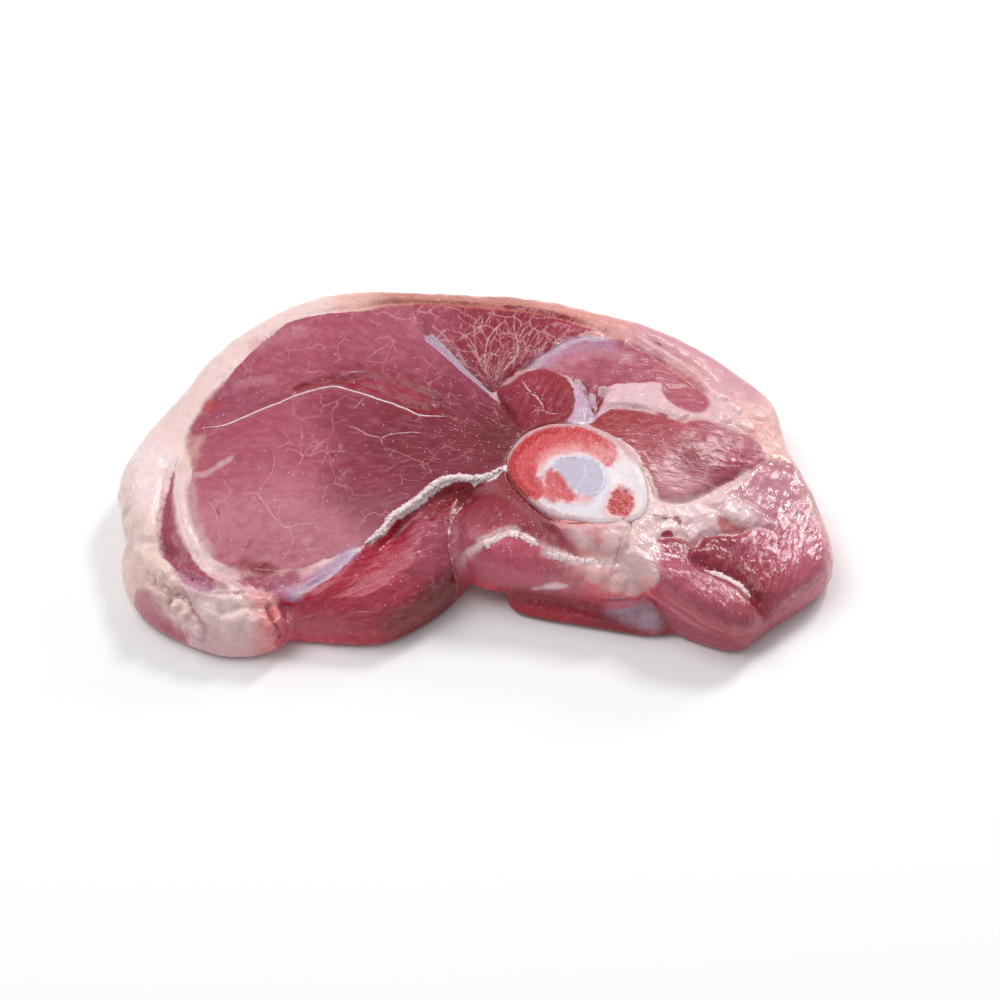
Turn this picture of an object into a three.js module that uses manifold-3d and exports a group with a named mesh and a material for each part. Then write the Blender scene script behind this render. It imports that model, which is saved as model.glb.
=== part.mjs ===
// A thick slice of raw pork shoulder, cut across the bone and lying on its lower cut face.
//
// Millimetres, +Z up. The origin is on the underside, below the middle of the slice's own box:
// +X runs along the slice towards the shank muscles, +Y towards the fat cap at its back.
//
// The meat is one solid. Plump forms are joined: the slab itself, the corner of fat and skin
// muscle at the front left, the muscle that hangs down in front, the muscle below the bone and
// the thin tongue of meat under that one. Ropes of fat are added along its edges, and the seams
// between its muscles are cut into its face. The bone is a solid of its own that runs right
// through.

import * as THREE from "three";
import { mergeVertices } from "three/addons/utils/BufferGeometryUtils.js";
import Module from "manifold-3d";

// Driving sizes.
const THICKNESS = 30; // of the slab, away from its edges
const BONE_GAP = 0.3; // between the bone and the hole in the meat
const BONE_PROUD = 1.2; // how far the sawn bone stands above the meat round it
const BONE_CENTRE = [39, -19];
const SEAM_DEPTH = 2.2; // of the furrow between two muscles, at its deepest
const SEAM_HALF_WIDTH = 1.8;
const CORD_RADIUS = 2.2; // of the band of fat along the front seam
const FOOT_GAP = 0.2; // under the joined forms, so that no two flat undersides coincide
const LOWER_STEP = 0.5; // how far the muscle below the bone stays under the upper cut face

// The upper cut face swells and sinks softly: [x, y, reach, rise] for each swelling or hollow.
const SWELLINGS = [
  [40, -14, 42, 4], // held up by the bone
  [-136, -8, 36, -8], // the face droops to the fat on the left
  [-88, -72, 34, -11], // to the front left corner
  [-50, -80, 34, -10], // and to the front seam
  [128, -28, 36, -10], // the shank muscles sag to the right
  [104, -80, 34, -11],
  [112, 42, 34, -8],
  [0, 96, 34, -3],
  [92, 2, 20, 2.5], // the plump muscle right of the bone
  [76, -36, 15, -2.5], // sinew between that muscle and the shank
  [90, -48, 8, -2.5], // the dip in the shank muscle
];

const wasm = await Module();
wasm.setup();

const faceHeight = (x, y) =>
  SWELLINGS.reduce(
    (height, [sx, sy, reach, rise]) =>
      height + rise * Math.exp(-((x - sx) ** 2 + (y - sy) ** 2) / reach ** 2),
    THICKNESS,
  );

// A tilted top: its height at one place, and how much it rises per millimetre along X and Y.
const tiltedTop = (height, [x0, y0], alongX, alongY) => (x, y) =>
  height + alongX * (x - x0) + alongY * (y - y0);

// A closed geometry from rings of points that all have the same count, with a point at each end.
function closedRings(first, rings, last) {
  const count = rings[0].length;
  const points = [first, ...rings.flat(), last];
  const at = (ring, k) => 1 + ring * count + (k % count);
  const index = [];
  for (let k = 0; k < count; k += 1) {
    index.push(0, at(0, k + 1), at(0, k));
    for (let ring = 0; ring < rings.length - 1; ring += 1) {
      index.push(at(ring, k), at(ring, k + 1), at(ring + 1, k + 1));
      index.push(at(ring, k), at(ring + 1, k + 1), at(ring + 1, k));
    }
    index.push(points.length - 1, at(rings.length - 1, k), at(rings.length - 1, k + 1));
  }
  return new THREE.BufferGeometry().setFromPoints(points).setIndex(index);
}

// A closed smooth curve through a few points, as evenly spaced points that run anticlockwise.
function smoothOutline(points, count) {
  const corners = points.map(([x, y]) => new THREE.Vector3(x, y, 0));
  if (THREE.ShapeUtils.isClockWise(corners)) corners.reverse();
  const curve = new THREE.CatmullRomCurve3(corners, true, "centripetal");
  curve.arcLengthDivisions = 8 * count;
  return curve.getSpacedPoints(count).slice(0, count);
}

// A plump closed form on an outline that can be seen whole from its centre. Its rings run from
// the middle of its underside, round the foot, up the side, over the shoulder and in to the
// middle of its top. foot and shoulder say how far each rounding reaches in and how tall it is.
function plumpForm({ outline, centre, base, top, foot, shoulder, segments, rings, roundSteps }) {
  const edge = smoothOutline(outline, segments);
  const middle = new THREE.Vector3(centre[0], centre[1], 0);
  const pointAt = (edgePoint, share, heightAt) => {
    const place = edgePoint.clone().lerp(middle, share);
    return place.setZ(heightAt(place.x, place.y));
  };
  const insetRing = (depth, share, heightAt) =>
    edge.map((point) => {
      const inset = depth / point.distanceTo(middle);
      return pointAt(point, inset + (1 - inset) * share, heightAt);
    });
  const turns = Array.from({ length: roundSteps + 1 }, (_, k) => (k * Math.PI) / 2 / roundSteps);
  const halfWay = 0.5;

  const allRings = [
    insetRing(foot.reach, halfWay, () => base),
    ...turns.map((turn) =>
      insetRing(foot.reach * (1 - Math.sin(turn)), 0, () => base + foot.rise * (1 - Math.cos(turn))),
    ),
    ...turns.map((turn) =>
      insetRing(
        shoulder.reach * (1 - Math.cos(turn)),
        0,
        (x, y) => top(x, y) - shoulder.rise * (1 - Math.sin(turn)),
      ),
    ),
  ];
  for (let ring = 1; ring < rings; ring += 1) {
    allRings.push(insetRing(shoulder.reach, ring / rings, top));
  }
  return closedRings(
    middle.clone().setZ(base),
    allRings,
    middle.clone().setZ(top(middle.x, middle.y)),
  );
}

// A rope along a smooth curve, thickest at its middle and drawn out to a point at both ends.
// wide and tall are its half sizes, and blunt says how fast it gains its full size.
function ropeForm({ route, wide, tall, blunt, steps, sides }) {
  const points = route.map(([x, y, z]) => new THREE.Vector3(x, y, z ?? faceHeight(x, y)));
  const curve = new THREE.CatmullRomCurve3(points, false, "centripetal");
  const up = new THREE.Vector3(0, 0, 1);
  const rings = [];
  for (let step = 1; step < steps; step += 1) {
    const share = step / steps;
    const swell = Math.min(1, blunt * Math.sin(Math.PI * share));
    const across = up.clone().cross(curve.getTangentAt(share)).normalize();
    const ring = [];
    for (let k = 0; k < sides; k += 1) {
      const turn = (2 * Math.PI * k) / sides;
      ring.push(
        curve
          .getPointAt(share)
          .addScaledVector(across, wide * swell * Math.cos(turn))
          .addScaledVector(up, tall * swell * Math.sin(turn)),
      );
    }
    rings.push(ring);
  }
  return closedRings(points[0], rings, points[points.length - 1]);
}

// A closed geometry as a solid that can be joined and cut.
function solidOf(geometry) {
  const merged = mergeVertices(geometry, 1e-4);
  return new wasm.Manifold(
    new wasm.Mesh({
      numProp: 3,
      vertProperties: merged.attributes.position.array,
      triVerts: new Uint32Array(merged.index.array),
    }),
  );
}

function meshOf(solid, name, material) {
  const { vertProperties, triVerts } = solid.getMesh();
  const geometry = new THREE.BufferGeometry()
    .setAttribute("position", new THREE.BufferAttribute(vertProperties, 3))
    .setIndex(new THREE.BufferAttribute(triVerts, 1));
  geometry.computeVertexNormals();
  const mesh = new THREE.Mesh(geometry, material);
  mesh.name = name;
  return mesh;
}

// The slab: everything between the two cut faces, up to the seam in front where a muscle hangs.
const slab = plumpForm({
  outline: [
    [-129, -16], [-127, -1], [-120, 11], [-109, 28], [-98, 46], [-84, 61], [-63, 75],
    [-40, 79.5], [-4, 80], [24, 76.5], [52, 67.5], [74, 59], [96, 46.5], [111, 33], [115, 22],
    [117, 6], [125, -12], [131, -34], [130.5, -47], [120, -58], [106, -69], [98, -76.5],
    [88, -75], [70, -66], [52, -52], [30, -46], [12, -36], [2, -25], [-8, -23], [-16, -27],
    [-24, -34], [-31, -42], [-38, -50], [-46, -58], [-60, -64], [-82, -62], [-104, -54],
    [-118, -42], [-126, -30],
  ],
  centre: [22, -2],
  base: 0,
  top: faceHeight,
  foot: { reach: 4, rise: 6 },
  shoulder: { reach: 7, rise: 8 },
  segments: 106,
  rings: 8,
  roundSteps: 3,
});

// The corner of fat and skin muscle at the front left.
const corner = plumpForm({
  outline: [
    [-67, -66], [-71, -76], [-86, -79], [-99, -75], [-114, -66], [-123, -55], [-127.5, -42],
    [-124, -28], [-110, -30], [-92, -40], [-76, -46], [-66, -56],
  ],
  centre: [-98, -58],
  base: FOOT_GAP,
  top: tiltedTop(19, [-100, -56], -0.05, 0.02),
  foot: { reach: 3, rise: 4 },
  shoulder: { reach: 13, rise: 13 },
  segments: 40,
  rings: 3,
  roundSteps: 3,
});

// The muscle that hangs down in front of the seam, from the corner fat to the gap below the bone.
const hangingMuscle = plumpForm({
  outline: [
    [-70, -69.5], [-57, -71.5], [-43, -73], [-30, -72], [-20, -66.5], [-10, -58.5], [0, -45],
    [5, -32], [2, -16], [-12, -12], [-30, -30], [-50, -46], [-72, -54],
  ],
  centre: [-24, -46],
  base: 2 * FOOT_GAP,
  top: tiltedTop(19, [-60, -50], 0.17, 0.05),
  foot: { reach: 2, rise: 2.5 },
  shoulder: { reach: 22, rise: 13.5 },
  segments: 44,
  rings: 3,
  roundSteps: 3,
});

// The muscle below the bone, which stands clear of the table over the tongue.
const lowerTop = tiltedTop(30.2, [24, -43], -0.03, 0.3);
const lowerMuscle = plumpForm({
  outline: [
    [4, -22], [-4, -29], [-7, -38], [-5, -46.5], [1, -51.5], [12, -55], [26, -57.5], [40, -60.5],
    [50, -63], [60, -62], [70, -52], [64, -38], [44, -30], [22, -24],
  ],
  centre: [24, -43],
  base: 6,
  top: (x, y) => Math.min(faceHeight(x, y) - LOWER_STEP, lowerTop(x, y)),
  foot: { reach: 4, rise: 5 },
  shoulder: { reach: 9, rise: 9 },
  segments: 44,
  rings: 3,
  roundSteps: 3,
});

// The thin tongue of meat that shows under it, flat on the table.
const tongue = plumpForm({
  outline: [
    [13, -51], [15, -57], [24, -60.5], [38, -63.5], [52, -66.5], [66, -68.5], [76, -66],
    [78, -52], [50, -44], [24, -44],
  ],
  centre: [48, -56],
  base: FOOT_GAP,
  top: () => 8.5,
  foot: { reach: 1.5, rise: 2 },
  shoulder: { reach: 6, rise: 4.5 },
  segments: 36,
  rings: 2,
  roundSteps: 2,
});

// Ropes of fat and gristle that stand out along the edges.
const FAT_ROLL = {
  route: [
    [-88, 41, 17], [-101, 23, 17], [-111, 8, 16], [-118.5, -7, 15], [-120.5, -20, 14], [-114, -36, 13],
  ],
  wide: 11,
  tall: 11,
  blunt: 1.3,
  steps: 16,
  sides: 10,
};
const CORNER_LUMPS = {
  route: [
    [-122, -34, 13], [-117, -45, 17], [-108, -53, 19], [-96, -60, 19], [-84, -64, 18], [-70, -67, 13],
  ],
  wide: 6,
  tall: 5,
  blunt: 1.5,
  steps: 12,
  sides: 8,
};
const CORNER_KNOB = {
  route: [[-80, -75, 9], [-71, -72, 9], [-64, -66, 9]],
  wide: 6,
  tall: 8,
  blunt: 1.2,
  steps: 7,
  sides: 8,
};
const FRONT_CORD = {
  route: [
    [-76, -60, 16], [-66, -63, 16.5], [-54, -62, 18.5], [-47, -58, 21], [-42, -52, 23],
    [-38, -46, 24.5], [-25, -32, 27], [-12, -22, 29], [-5, -20, 30.5], [8, -19, 31.7],
  ],
  wide: CORD_RADIUS,
  tall: CORD_RADIUS,
  blunt: 3,
  steps: 26,
  sides: 6,
};

// The seams between the muscles, along the upper face.
const SEAMS = [
  // Behind the big oval muscle, where the two muscles have begun to part.
  [[-92, 12], [-84, 12], [-76, 18], [-66, 22], [-53, 27], [-41, 27], [-29, 22], [-12, 14]],
  // Down its left side and along its front, inside the sheet of sinew that wraps it.
  [[-96, 8], [-104, -8], [-104, -24], [-100, -40], [-93, -53], [-84, -60], [-72, -62]],
  // From the back edge to the bone.
  [[-33, 71], [-24, 60], [-16, 49], [-6, 38], [1, 29], [7, 23], [12, 13], [18, 4]],
  // From there to the right, between the back muscle and the one beside it.
  [[7, 24], [14, 29], [23, 37], [33, 45], [44, 51], [58, 55], [68, 53]],
  // Round the small muscle behind the bone.
  [[33, 36], [39, 29], [43, 18], [44, 10], [39, 4]],
  // Between the fat edge and the face, on the left and round the back.
  [[-106, -44], [-110, -28], [-110, -12], [-103, 6], [-98, 16], [-86, 32], [-75, 46], [-64, 58]],
  [[-64, 58], [-50, 67], [-35, 69.5], [-15, 69.5], [5, 67], [26, 62], [46, 58], [64, 52]],
  // Between the plump muscle and the shank.
  [[70, -33], [82, -30], [95, -28], [105, -34], [113, -40]],
  // The fold in the shank muscle.
  [[78, -50], [86, -57], [95, -62], [103, -67]],
].map((route) => ({
  route,
  wide: SEAM_HALF_WIDTH,
  tall: SEAM_DEPTH,
  blunt: 1.5,
  steps: 12,
  sides: 4,
}));

// The sawn round of bone, egg-shaped, from one cut face to the other.
const BONE_OUTLINE = [
  [13, -15], [15.5, -6], [21, 1], [29, 4.5], [38, 4], [47, 1], [55, -6], [61, -16], [63.5, -28],
  [61, -37], [53, -40.5], [40, -41], [30, -38.5], [20, -29],
];

function boneForm({ grow, base, top, rounding }) {
  const [cx, cy] = BONE_CENTRE;
  const outline = BONE_OUTLINE.map(([x, y]) => {
    const out = new THREE.Vector2(x - cx, y - cy);
    out.setLength(out.length() + grow);
    return [cx + out.x, cy + out.y];
  });
  return plumpForm({
    outline,
    centre: BONE_CENTRE,
    base,
    top,
    foot: { reach: rounding, rise: rounding },
    shoulder: { reach: rounding, rise: rounding },
    segments: 40,
    rings: 2,
    roundSteps: 2,
  });
}

const THROUGH = 5; // how far the cutting form runs past the underside; three times that on top
const boneSeat = boneForm({
  grow: BONE_GAP,
  base: -THROUGH,
  top: () => THICKNESS + 3 * THROUGH,
  rounding: BONE_PROUD,
});
const bone = boneForm({
  grow: 0,
  base: 0,
  top: (x, y) => faceHeight(x, y) + BONE_PROUD,
  rounding: BONE_PROUD,
});

// Joining can leave crumbs with no volume, so only the largest body is kept.
const largestBody = (solid) =>
  solid.decompose().reduce((most, body) => (body.volume() > most.volume() ? body : most));

const joined = [corner, hangingMuscle, lowerMuscle, tongue]
  .concat([FAT_ROLL, CORNER_LUMPS, CORNER_KNOB, FRONT_CORD].map(ropeForm))
  .reduce((meat, form) => meat.add(solidOf(form)), solidOf(slab));
const meat = SEAMS.map(ropeForm)
  .concat([boneSeat])
  .reduce((rest, form) => rest.subtract(solidOf(form)), joined);

const lean = new THREE.MeshStandardMaterial({ color: 0xb05a68, roughness: 0.4, metalness: 0 });
const sawnBone = new THREE.MeshStandardMaterial({ color: 0xe8dcd8, roughness: 0.5, metalness: 0 });

const porkShoulder = new THREE.Group();
porkShoulder.add(meshOf(largestBody(meat), "meat", lean));
porkShoulder.add(meshOf(solidOf(bone), "bone", sawnBone));

export default porkShoulder;
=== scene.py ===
# %% [markdown]
# # A thick slice of raw pork shoulder
#
# The real thing is a slab of meat sawn right across the bone. Its upper face shows the cut
# ends of seven muscles, each wrapped in a thin silvery skin. A band of fat runs round the
# back and the left, and the sawn bone sits in the middle.
#
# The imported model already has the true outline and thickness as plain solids. This lesson
# copies its meat, gives it an even skin, carves and paints that skin, and then lays small
# things on it: a beaded cord of fat, a white thread, and crests of fat with grains.
#
# Sizes are in millimetres here and become metres only when a mesh is written.

# %% The frame
import math

import bmesh
import bpy
import numpy as np
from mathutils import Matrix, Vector, noise


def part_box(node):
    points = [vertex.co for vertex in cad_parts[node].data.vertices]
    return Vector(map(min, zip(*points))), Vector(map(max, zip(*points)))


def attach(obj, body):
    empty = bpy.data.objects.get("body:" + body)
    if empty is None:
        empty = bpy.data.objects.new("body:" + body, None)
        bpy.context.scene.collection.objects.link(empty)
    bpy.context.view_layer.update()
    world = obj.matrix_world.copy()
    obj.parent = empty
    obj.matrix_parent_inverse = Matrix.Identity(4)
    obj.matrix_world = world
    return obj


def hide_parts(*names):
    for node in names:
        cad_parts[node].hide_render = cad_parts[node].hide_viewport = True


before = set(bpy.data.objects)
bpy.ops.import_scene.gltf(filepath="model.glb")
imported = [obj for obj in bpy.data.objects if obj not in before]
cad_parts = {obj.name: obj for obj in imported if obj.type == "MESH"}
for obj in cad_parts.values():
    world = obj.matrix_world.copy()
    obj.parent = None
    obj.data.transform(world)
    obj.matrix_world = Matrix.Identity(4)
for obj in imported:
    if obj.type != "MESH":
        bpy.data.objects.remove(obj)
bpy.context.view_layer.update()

MM = 0.001
scene = bpy.context.scene
print("nodes in the frame:", sorted(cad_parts))

# %% [markdown]
# ## Table, light and camera
#
# The slice lies on a plain pale table, which takes its shadow and adds no colour. One wide soft
# lamp hangs overhead and two small ones stand behind the right side. The small lamps draw the
# broken wet highlights on the shank. A bright sky dome could light it too, but lamps can be
# aimed one by one, and an area lamp gives the soft edge of a real diffuser.

# %% Table and camera
LOOK_AT = Vector((10.4, -3.3, 0)) * MM
LOOK_DOWN = math.radians(50)
DISTANCE = 1.268  # m
LENS = 122.4  # mm of focal length
TABLE_SIDE = 6  # m
TABLE_GAP = 0.2 * MM  # keeps the table's face from flickering through the flat underside


def add_object(name, data):
    made = bpy.data.objects.new(name, data)
    scene.collection.objects.link(made)
    return made


camera = add_object("camera", bpy.data.cameras.new("camera"))
camera.data.lens = LENS
camera.location = LOOK_AT + DISTANCE * Vector((0, -math.cos(LOOK_DOWN), math.sin(LOOK_DOWN)))
camera.rotation_euler = (math.pi / 2 - LOOK_DOWN, 0, 0)
scene.camera = camera

table_mesh = bpy.data.meshes.new("table")
half = TABLE_SIDE / 2
table_corners = [(x * half, y * half, -TABLE_GAP) for x, y in ((-1, -1), (1, -1), (1, 1), (-1, 1))]
table_mesh.from_pydata(table_corners, [], [(0, 1, 2, 3)])
table = add_object("table", table_mesh)
print("camera looks down", round(math.degrees(LOOK_DOWN)), "degrees from", DISTANCE, "m")

# %% Lamps
# name: direction from the meat, distance in m, side in m, power in W, colour
LAMPS = {
    "overhead diffuser": ((-0.42, 0.10, 0.90), 1.5, 1.1, 11.4, (1.0, 0.985, 0.97)),
    "lamp behind the shank": ((0.36, 0.56, 0.75), 1.3, 0.26, 6.6, (1.0, 0.98, 0.96)),
    "lamp beyond the shank": ((0.64, 0.62, 0.42), 1.2, 0.22, 2.8, (1.0, 0.98, 0.96)),
}
ROOM_LIGHT = 0.42

for lamp_name, (direction, distance, side, power, colour) in LAMPS.items():
    lamp = add_object(lamp_name, bpy.data.lights.new(lamp_name, "AREA"))
    lamp.data.size = side
    lamp.data.energy = power
    lamp.data.color = colour
    towards = Vector(direction).normalized()
    lamp.location = LOOK_AT + distance * towards
    lamp.rotation_euler = towards.to_track_quat("Z", "Y").to_euler()

world = bpy.data.worlds.new("room")
scene.world = world
world.use_nodes = True
world.node_tree.nodes["Background"].inputs["Color"].default_value = (0.96, 0.98, 1.0, 1)
world.node_tree.nodes["Background"].inputs["Strength"].default_value = ROOM_LIGHT
scene.view_settings.view_transform = "Standard"
print("lamps:", ", ".join(LAMPS))

# %% [markdown]
# ## Tools for nodes
#
# Shader trees and geometry trees are built the same way: add a node, set its properties, and
# give each input a value or a link. Written out, that takes a line for every socket. One helper
# does all three, so that a tree reads from top to bottom like a recipe.

# %% Node helpers
def place(tree, kind, inputs=None, **settings):
    """Add a node, set its properties, and give its inputs a value or a link."""
    made = tree.nodes.new(kind)
    for key, value in settings.items():
        setattr(made, key, value)
    for key, value in (inputs or {}).items():
        socket = made.inputs[key]
        if isinstance(value, bpy.types.NodeSocket):
            tree.links.new(value, socket)
        else:
            socket.default_value = value
    return made


def maths(tree, operation, *values):
    return place(tree, "ShaderNodeMath", dict(enumerate(values)), operation=operation).outputs[0]


def times(tree, first, second):
    return maths(tree, "MULTIPLY", first, second)


def times_plus(tree, value, factor, more):
    return maths(tree, "MULTIPLY_ADD", value, factor, more)


def about_zero(tree, noise_share):
    """Noise from 0 to 1 becomes noise round 0."""
    return maths(tree, "SUBTRACT", noise_share, 0.5)


def blend_colour(tree, share, first, second, how="MIX"):
    """Blend two colours by a share that may vary over the surface."""
    made = place(tree, "ShaderNodeMix", {0: share, 6: first, 7: second}, data_type="RGBA")
    made.blend_type = how
    return made.outputs[2]


def ramp(tree, value, start, end, low=0.0, high=1.0):
    """Soft step from low to high while value goes from start to end."""
    inputs = {"Value": value, "From Min": start, "From Max": end, "To Min": low, "To Max": high}
    return place(tree, "ShaderNodeMapRange", inputs, interpolation_type="SMOOTHSTEP").outputs[0]


def scaled(tree, vector, factors):
    return place(tree, "ShaderNodeVectorMath", {0: vector, 1: factors}, operation="MULTIPLY").outputs[0]


def read(tree, name, output="Fac"):
    return place(tree, "ShaderNodeAttribute", attribute_name=name).outputs[output]


def open_tree(name, kind, sockets):
    """A node group with the named inputs and outputs, and its two end nodes."""
    tree = bpy.data.node_groups.new(name, kind)
    for socket_name, direction, socket_kind, value in sockets:
        made = tree.interface.new_socket(socket_name, in_out=direction, socket_type=socket_kind)
        if value is not None:
            made.default_value = value
    return tree, tree.nodes.new("NodeGroupInput").outputs, tree.nodes.new("NodeGroupOutput").inputs


print("node helpers:", ", ".join(helper.__name__ for helper in (place, maths, times, ramp, read)))

# %% [markdown]
# ## Paths and outlines
#
# Every seam, thread and muscle is given by a few points in plan. Curve objects could carry
# them, but plain lists are easier to measure from. A smooth curve is drawn through the points,
# and each point of the skin then learns how far it is from the curve, on which side, and how
# far along. That one measure drives carving, paint and fine lines alike.

# %% Path helpers
def smooth_path(points, closed=False, step=1.2):
    """Close points on a smooth curve through a few, which never swings wide of them."""
    knots = np.array(points, float)
    if closed:
        knots = np.vstack([knots[-1:], knots, knots[:2]])
    else:
        knots = np.vstack([2 * knots[0] - knots[1], knots, 2 * knots[-1] - knots[-2]])
    gaps = np.linalg.norm(np.diff(knots, axis=0), axis=1)
    heading = (knots[2:] - knots[:-2]) / (gaps[1:] + gaps[:-1])[:, None]
    path = []
    for k in range(len(heading) - 1):
        start, end, size = knots[k + 1], knots[k + 2], gaps[k + 1]
        t = np.arange(0, 1 - 1e-9, 1 / max(1, round(size / step)))[:, None]
        path.append(
            (2 * t**3 - 3 * t**2 + 1) * start
            + (t**3 - 2 * t**2 + t) * size * heading[k]
            + (3 * t**2 - 2 * t**3) * end
            + (t**3 - t**2) * size * heading[k + 1]
        )
    path.append(knots[1:2] if closed else knots[-2:-1])
    return np.vstack(path)


def follow(spots, path):
    """For each spot: its distance from a path, the side it lies on, and its share along it."""
    nearest = np.full(len(spots), np.inf)
    side = np.ones(len(spots))
    along = np.zeros(len(spots))
    walked = 0.0
    for start, end in zip(path[:-1], path[1:]):
        step = end - start
        size = np.linalg.norm(step)
        if size < 1e-9:
            continue
        t = np.clip((spots - start) @ step / size**2, 0, 1)
        gap = spots - start - t[:, None] * step
        distance = np.einsum("ij,ij->i", gap, gap)
        closer = distance < nearest
        nearest[closer] = distance[closer]
        turn = step[0] * gap[:, 1] - step[1] * gap[:, 0]
        side[closer] = np.where(turn[closer] < 0, -1.0, 1.0)
        along[closer] = walked + t[closer] * size
        walked += size
    return np.sqrt(nearest), side, along / walked


def is_inside(spots, ring):
    """True for the spots inside a closed ring of points."""
    odd = np.zeros(len(spots), bool)
    for (x0, y0), (x1, y1) in zip(ring[:-1], ring[1:]):
        spans = (y0 > spots[:, 1]) != (y1 > spots[:, 1])
        crossing = x0 + (spots[:, 1] - y0) / (y1 - y0 if y1 != y0 else 1) * (x1 - x0)
        odd ^= spans & (spots[:, 0] < crossing)
    return odd


def soft_step(value, start, end):
    t = np.clip((value - start) / (end - start), 0, 1)
    return t * t * (3 - 2 * t)


def fade_ends(share, blunt=3.0):
    """1 along a path, falling to 0 at both of its ends."""
    return np.clip(blunt * np.sin(np.pi * np.clip(share, 0, 1)), 0, 1)


def rough(spots, size, octaves=3, seed=0.0):
    """Random relief from about -1 to 1 whose bumps are about size apart."""
    places = spots / size + seed
    return np.array([noise.fractal(p, 1.0, 2.0, octaves) for p in places])


sample_ring = smooth_path([(0, 0), (10, 0), (10, 10), (0, 10)], closed=True)
print("four corners of a 10 mm square make a smooth ring of", len(sample_ring), "points")

# %% [markdown]
# ## An even skin
#
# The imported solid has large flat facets. Subdividing them would keep their uneven pattern, so
# voxel remeshing lays an even net of small squares over the solid instead, and smoothing
# melts the facets away. Nobody looks under the slice, so its flat underside is thinned out
# again to leave the triangles to the faces that show. Raw meat has no sharp bends either:
# where the surface turns within a few millimetres it is eased by drawing each point towards
# its neighbours, while flat faces keep their place.

# %% Skin helpers
def plain_mesh(thing):
    """The mesh that an object's modifiers make; the object itself is removed."""
    depsgraph = bpy.context.evaluated_depsgraph_get()
    mesh = bpy.data.meshes.new_from_object(thing.evaluated_get(depsgraph), depsgraph=depsgraph)
    bpy.data.objects.remove(thing)
    return mesh


def even_skin(node, voxel, passes):
    """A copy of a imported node's mesh, merged, remeshed into small squares and smoothed."""
    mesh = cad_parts[node].data.copy()
    mesh.materials.clear()
    merged = bmesh.new()
    merged.from_mesh(mesh)
    bmesh.ops.remove_doubles(merged, verts=merged.verts, dist=1e-6)
    merged.to_mesh(mesh)
    merged.free()
    thing = add_object("skin", mesh)
    remesh = thing.modifiers.new("even", "REMESH")
    remesh.mode = "VOXEL"
    remesh.voxel_size = voxel * MM
    soften = thing.modifiers.new("soft", "SMOOTH")
    soften.iterations = passes
    return plain_mesh(thing)


def thin_out(mesh, chosen, share):
    """Merge the chosen vertices' faces until only a share of all the faces is left."""
    thing = add_object("skin", mesh)
    group = thing.vertex_groups.new(name="thin")
    group.add(np.flatnonzero(chosen).tolist(), 1.0, "REPLACE")
    decimate = thing.modifiers.new("thin", "DECIMATE")
    decimate.ratio = share
    decimate.vertex_group = "thin"
    decimate.vertex_group_factor = 10
    return plain_mesh(thing)


def relax(points, edges, weight, passes):
    """Draw each point towards the middle of its neighbours, as strongly as its weight says."""
    first, second = edges[:, 0], edges[:, 1]
    count = np.bincount(edges.ravel(), minlength=len(points))
    for _ in range(passes):
        for k in range(points.shape[1]):
            total = np.bincount(first, points[second, k], len(points))
            total += np.bincount(second, points[first, k], len(points))
            points[:, k] += weight * (total / count - points[:, k])
    return points


class Skin:
    """The points of a mesh in millimetres, and what each of them measures to things in plan."""

    def __init__(self, mesh):
        self.mesh = mesh
        self.at = self.column(mesh.vertices, "co", 3) / MM
        self.edges = self.column(mesh.edges, "vertices", 2, int)
        self.refresh()

    @staticmethod
    def column(items, name, width, kind=float):
        values = np.empty(len(items) * width, kind)
        items.foreach_get(name, values)
        return values.reshape(-1, width)

    def refresh(self):
        """Write the points to the mesh and read the directions that its faces look in."""
        self.mesh.vertices.foreach_set("co", (self.at * MM).ravel())
        self.mesh.update()
        self.out = self.column(self.mesh.vertex_normals, "vector", 3)
        self.up = soft_step(self.out[:, 2], 0.05, 0.45)

    def along(self, points, reach, closed=False):
        """Distance from a path, side and share along it. Two numbers a point measure in plan."""
        path = smooth_path(points, closed)
        spots = self.at[:, : path.shape[1]]
        close = np.all((spots > path.min(0) - reach) & (spots < path.max(0) + reach), axis=1)
        far = np.full(len(spots), float(reach))
        side = np.ones(len(spots))
        share = np.zeros(len(spots))
        far[close], side[close], share[close] = follow(spots[close], path)
        return np.minimum(far, reach), side, share

    def depth_in(self, outline, margin=12.0):
        """How deep each point lies inside an outline in plan; less than 0 is outside."""
        far, _, _ = self.along(outline, margin, closed=True)
        ring = smooth_path(outline, closed=True)
        return np.where(is_inside(self.at[:, :2], ring), far, -far)

    def push(self, amount):
        """Move each point out of the surface by its amount."""
        self.at += self.out * np.asarray(amount)[:, None]

    def store(self, name, values):
        """Keep a number, or three numbers, for each point as a named attribute."""
        kind = "FLOAT_VECTOR" if values.ndim == 2 else "FLOAT"
        made = self.mesh.attributes.new(name, kind, "POINT")
        made.data.foreach_set("vector" if values.ndim == 2 else "value", values.astype(np.float32).ravel())

    def store_colour(self, name, values):
        made = self.mesh.attributes.new(name, "FLOAT_COLOR", "POINT")
        colours = np.column_stack([values, np.ones(len(values))])
        made.data.foreach_set("color", colours.astype(np.float32).ravel())


packed_faces = {node: len(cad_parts[node].data.polygons) for node in ("meat", "bone")}
print("faces as packed:", packed_faces)

# %% The meat's skin
VOXEL = 0.83
FACET_PASSES = 10
UNDERSIDE = 0.8  # faces that look down and lie lower than this are under the slice
HIDDEN_WALL = 27  # below this height the bone hides the wall of its hole
HIDDEN_REMOVED = 0.93  # share of the hidden triangles that is merged away
BEND_REACH = 8  # passes over the neighbours that a bend is measured within
EASE_STRENGTH = 0.6
EASE_PASSES = 45
EASE_GAP = 6  # this near to the bone nothing is eased, so that the meat still meets it

bone_low, bone_high = [np.array(corner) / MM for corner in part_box("bone")]
bone_middle = (bone_low + bone_high) / 2

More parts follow.
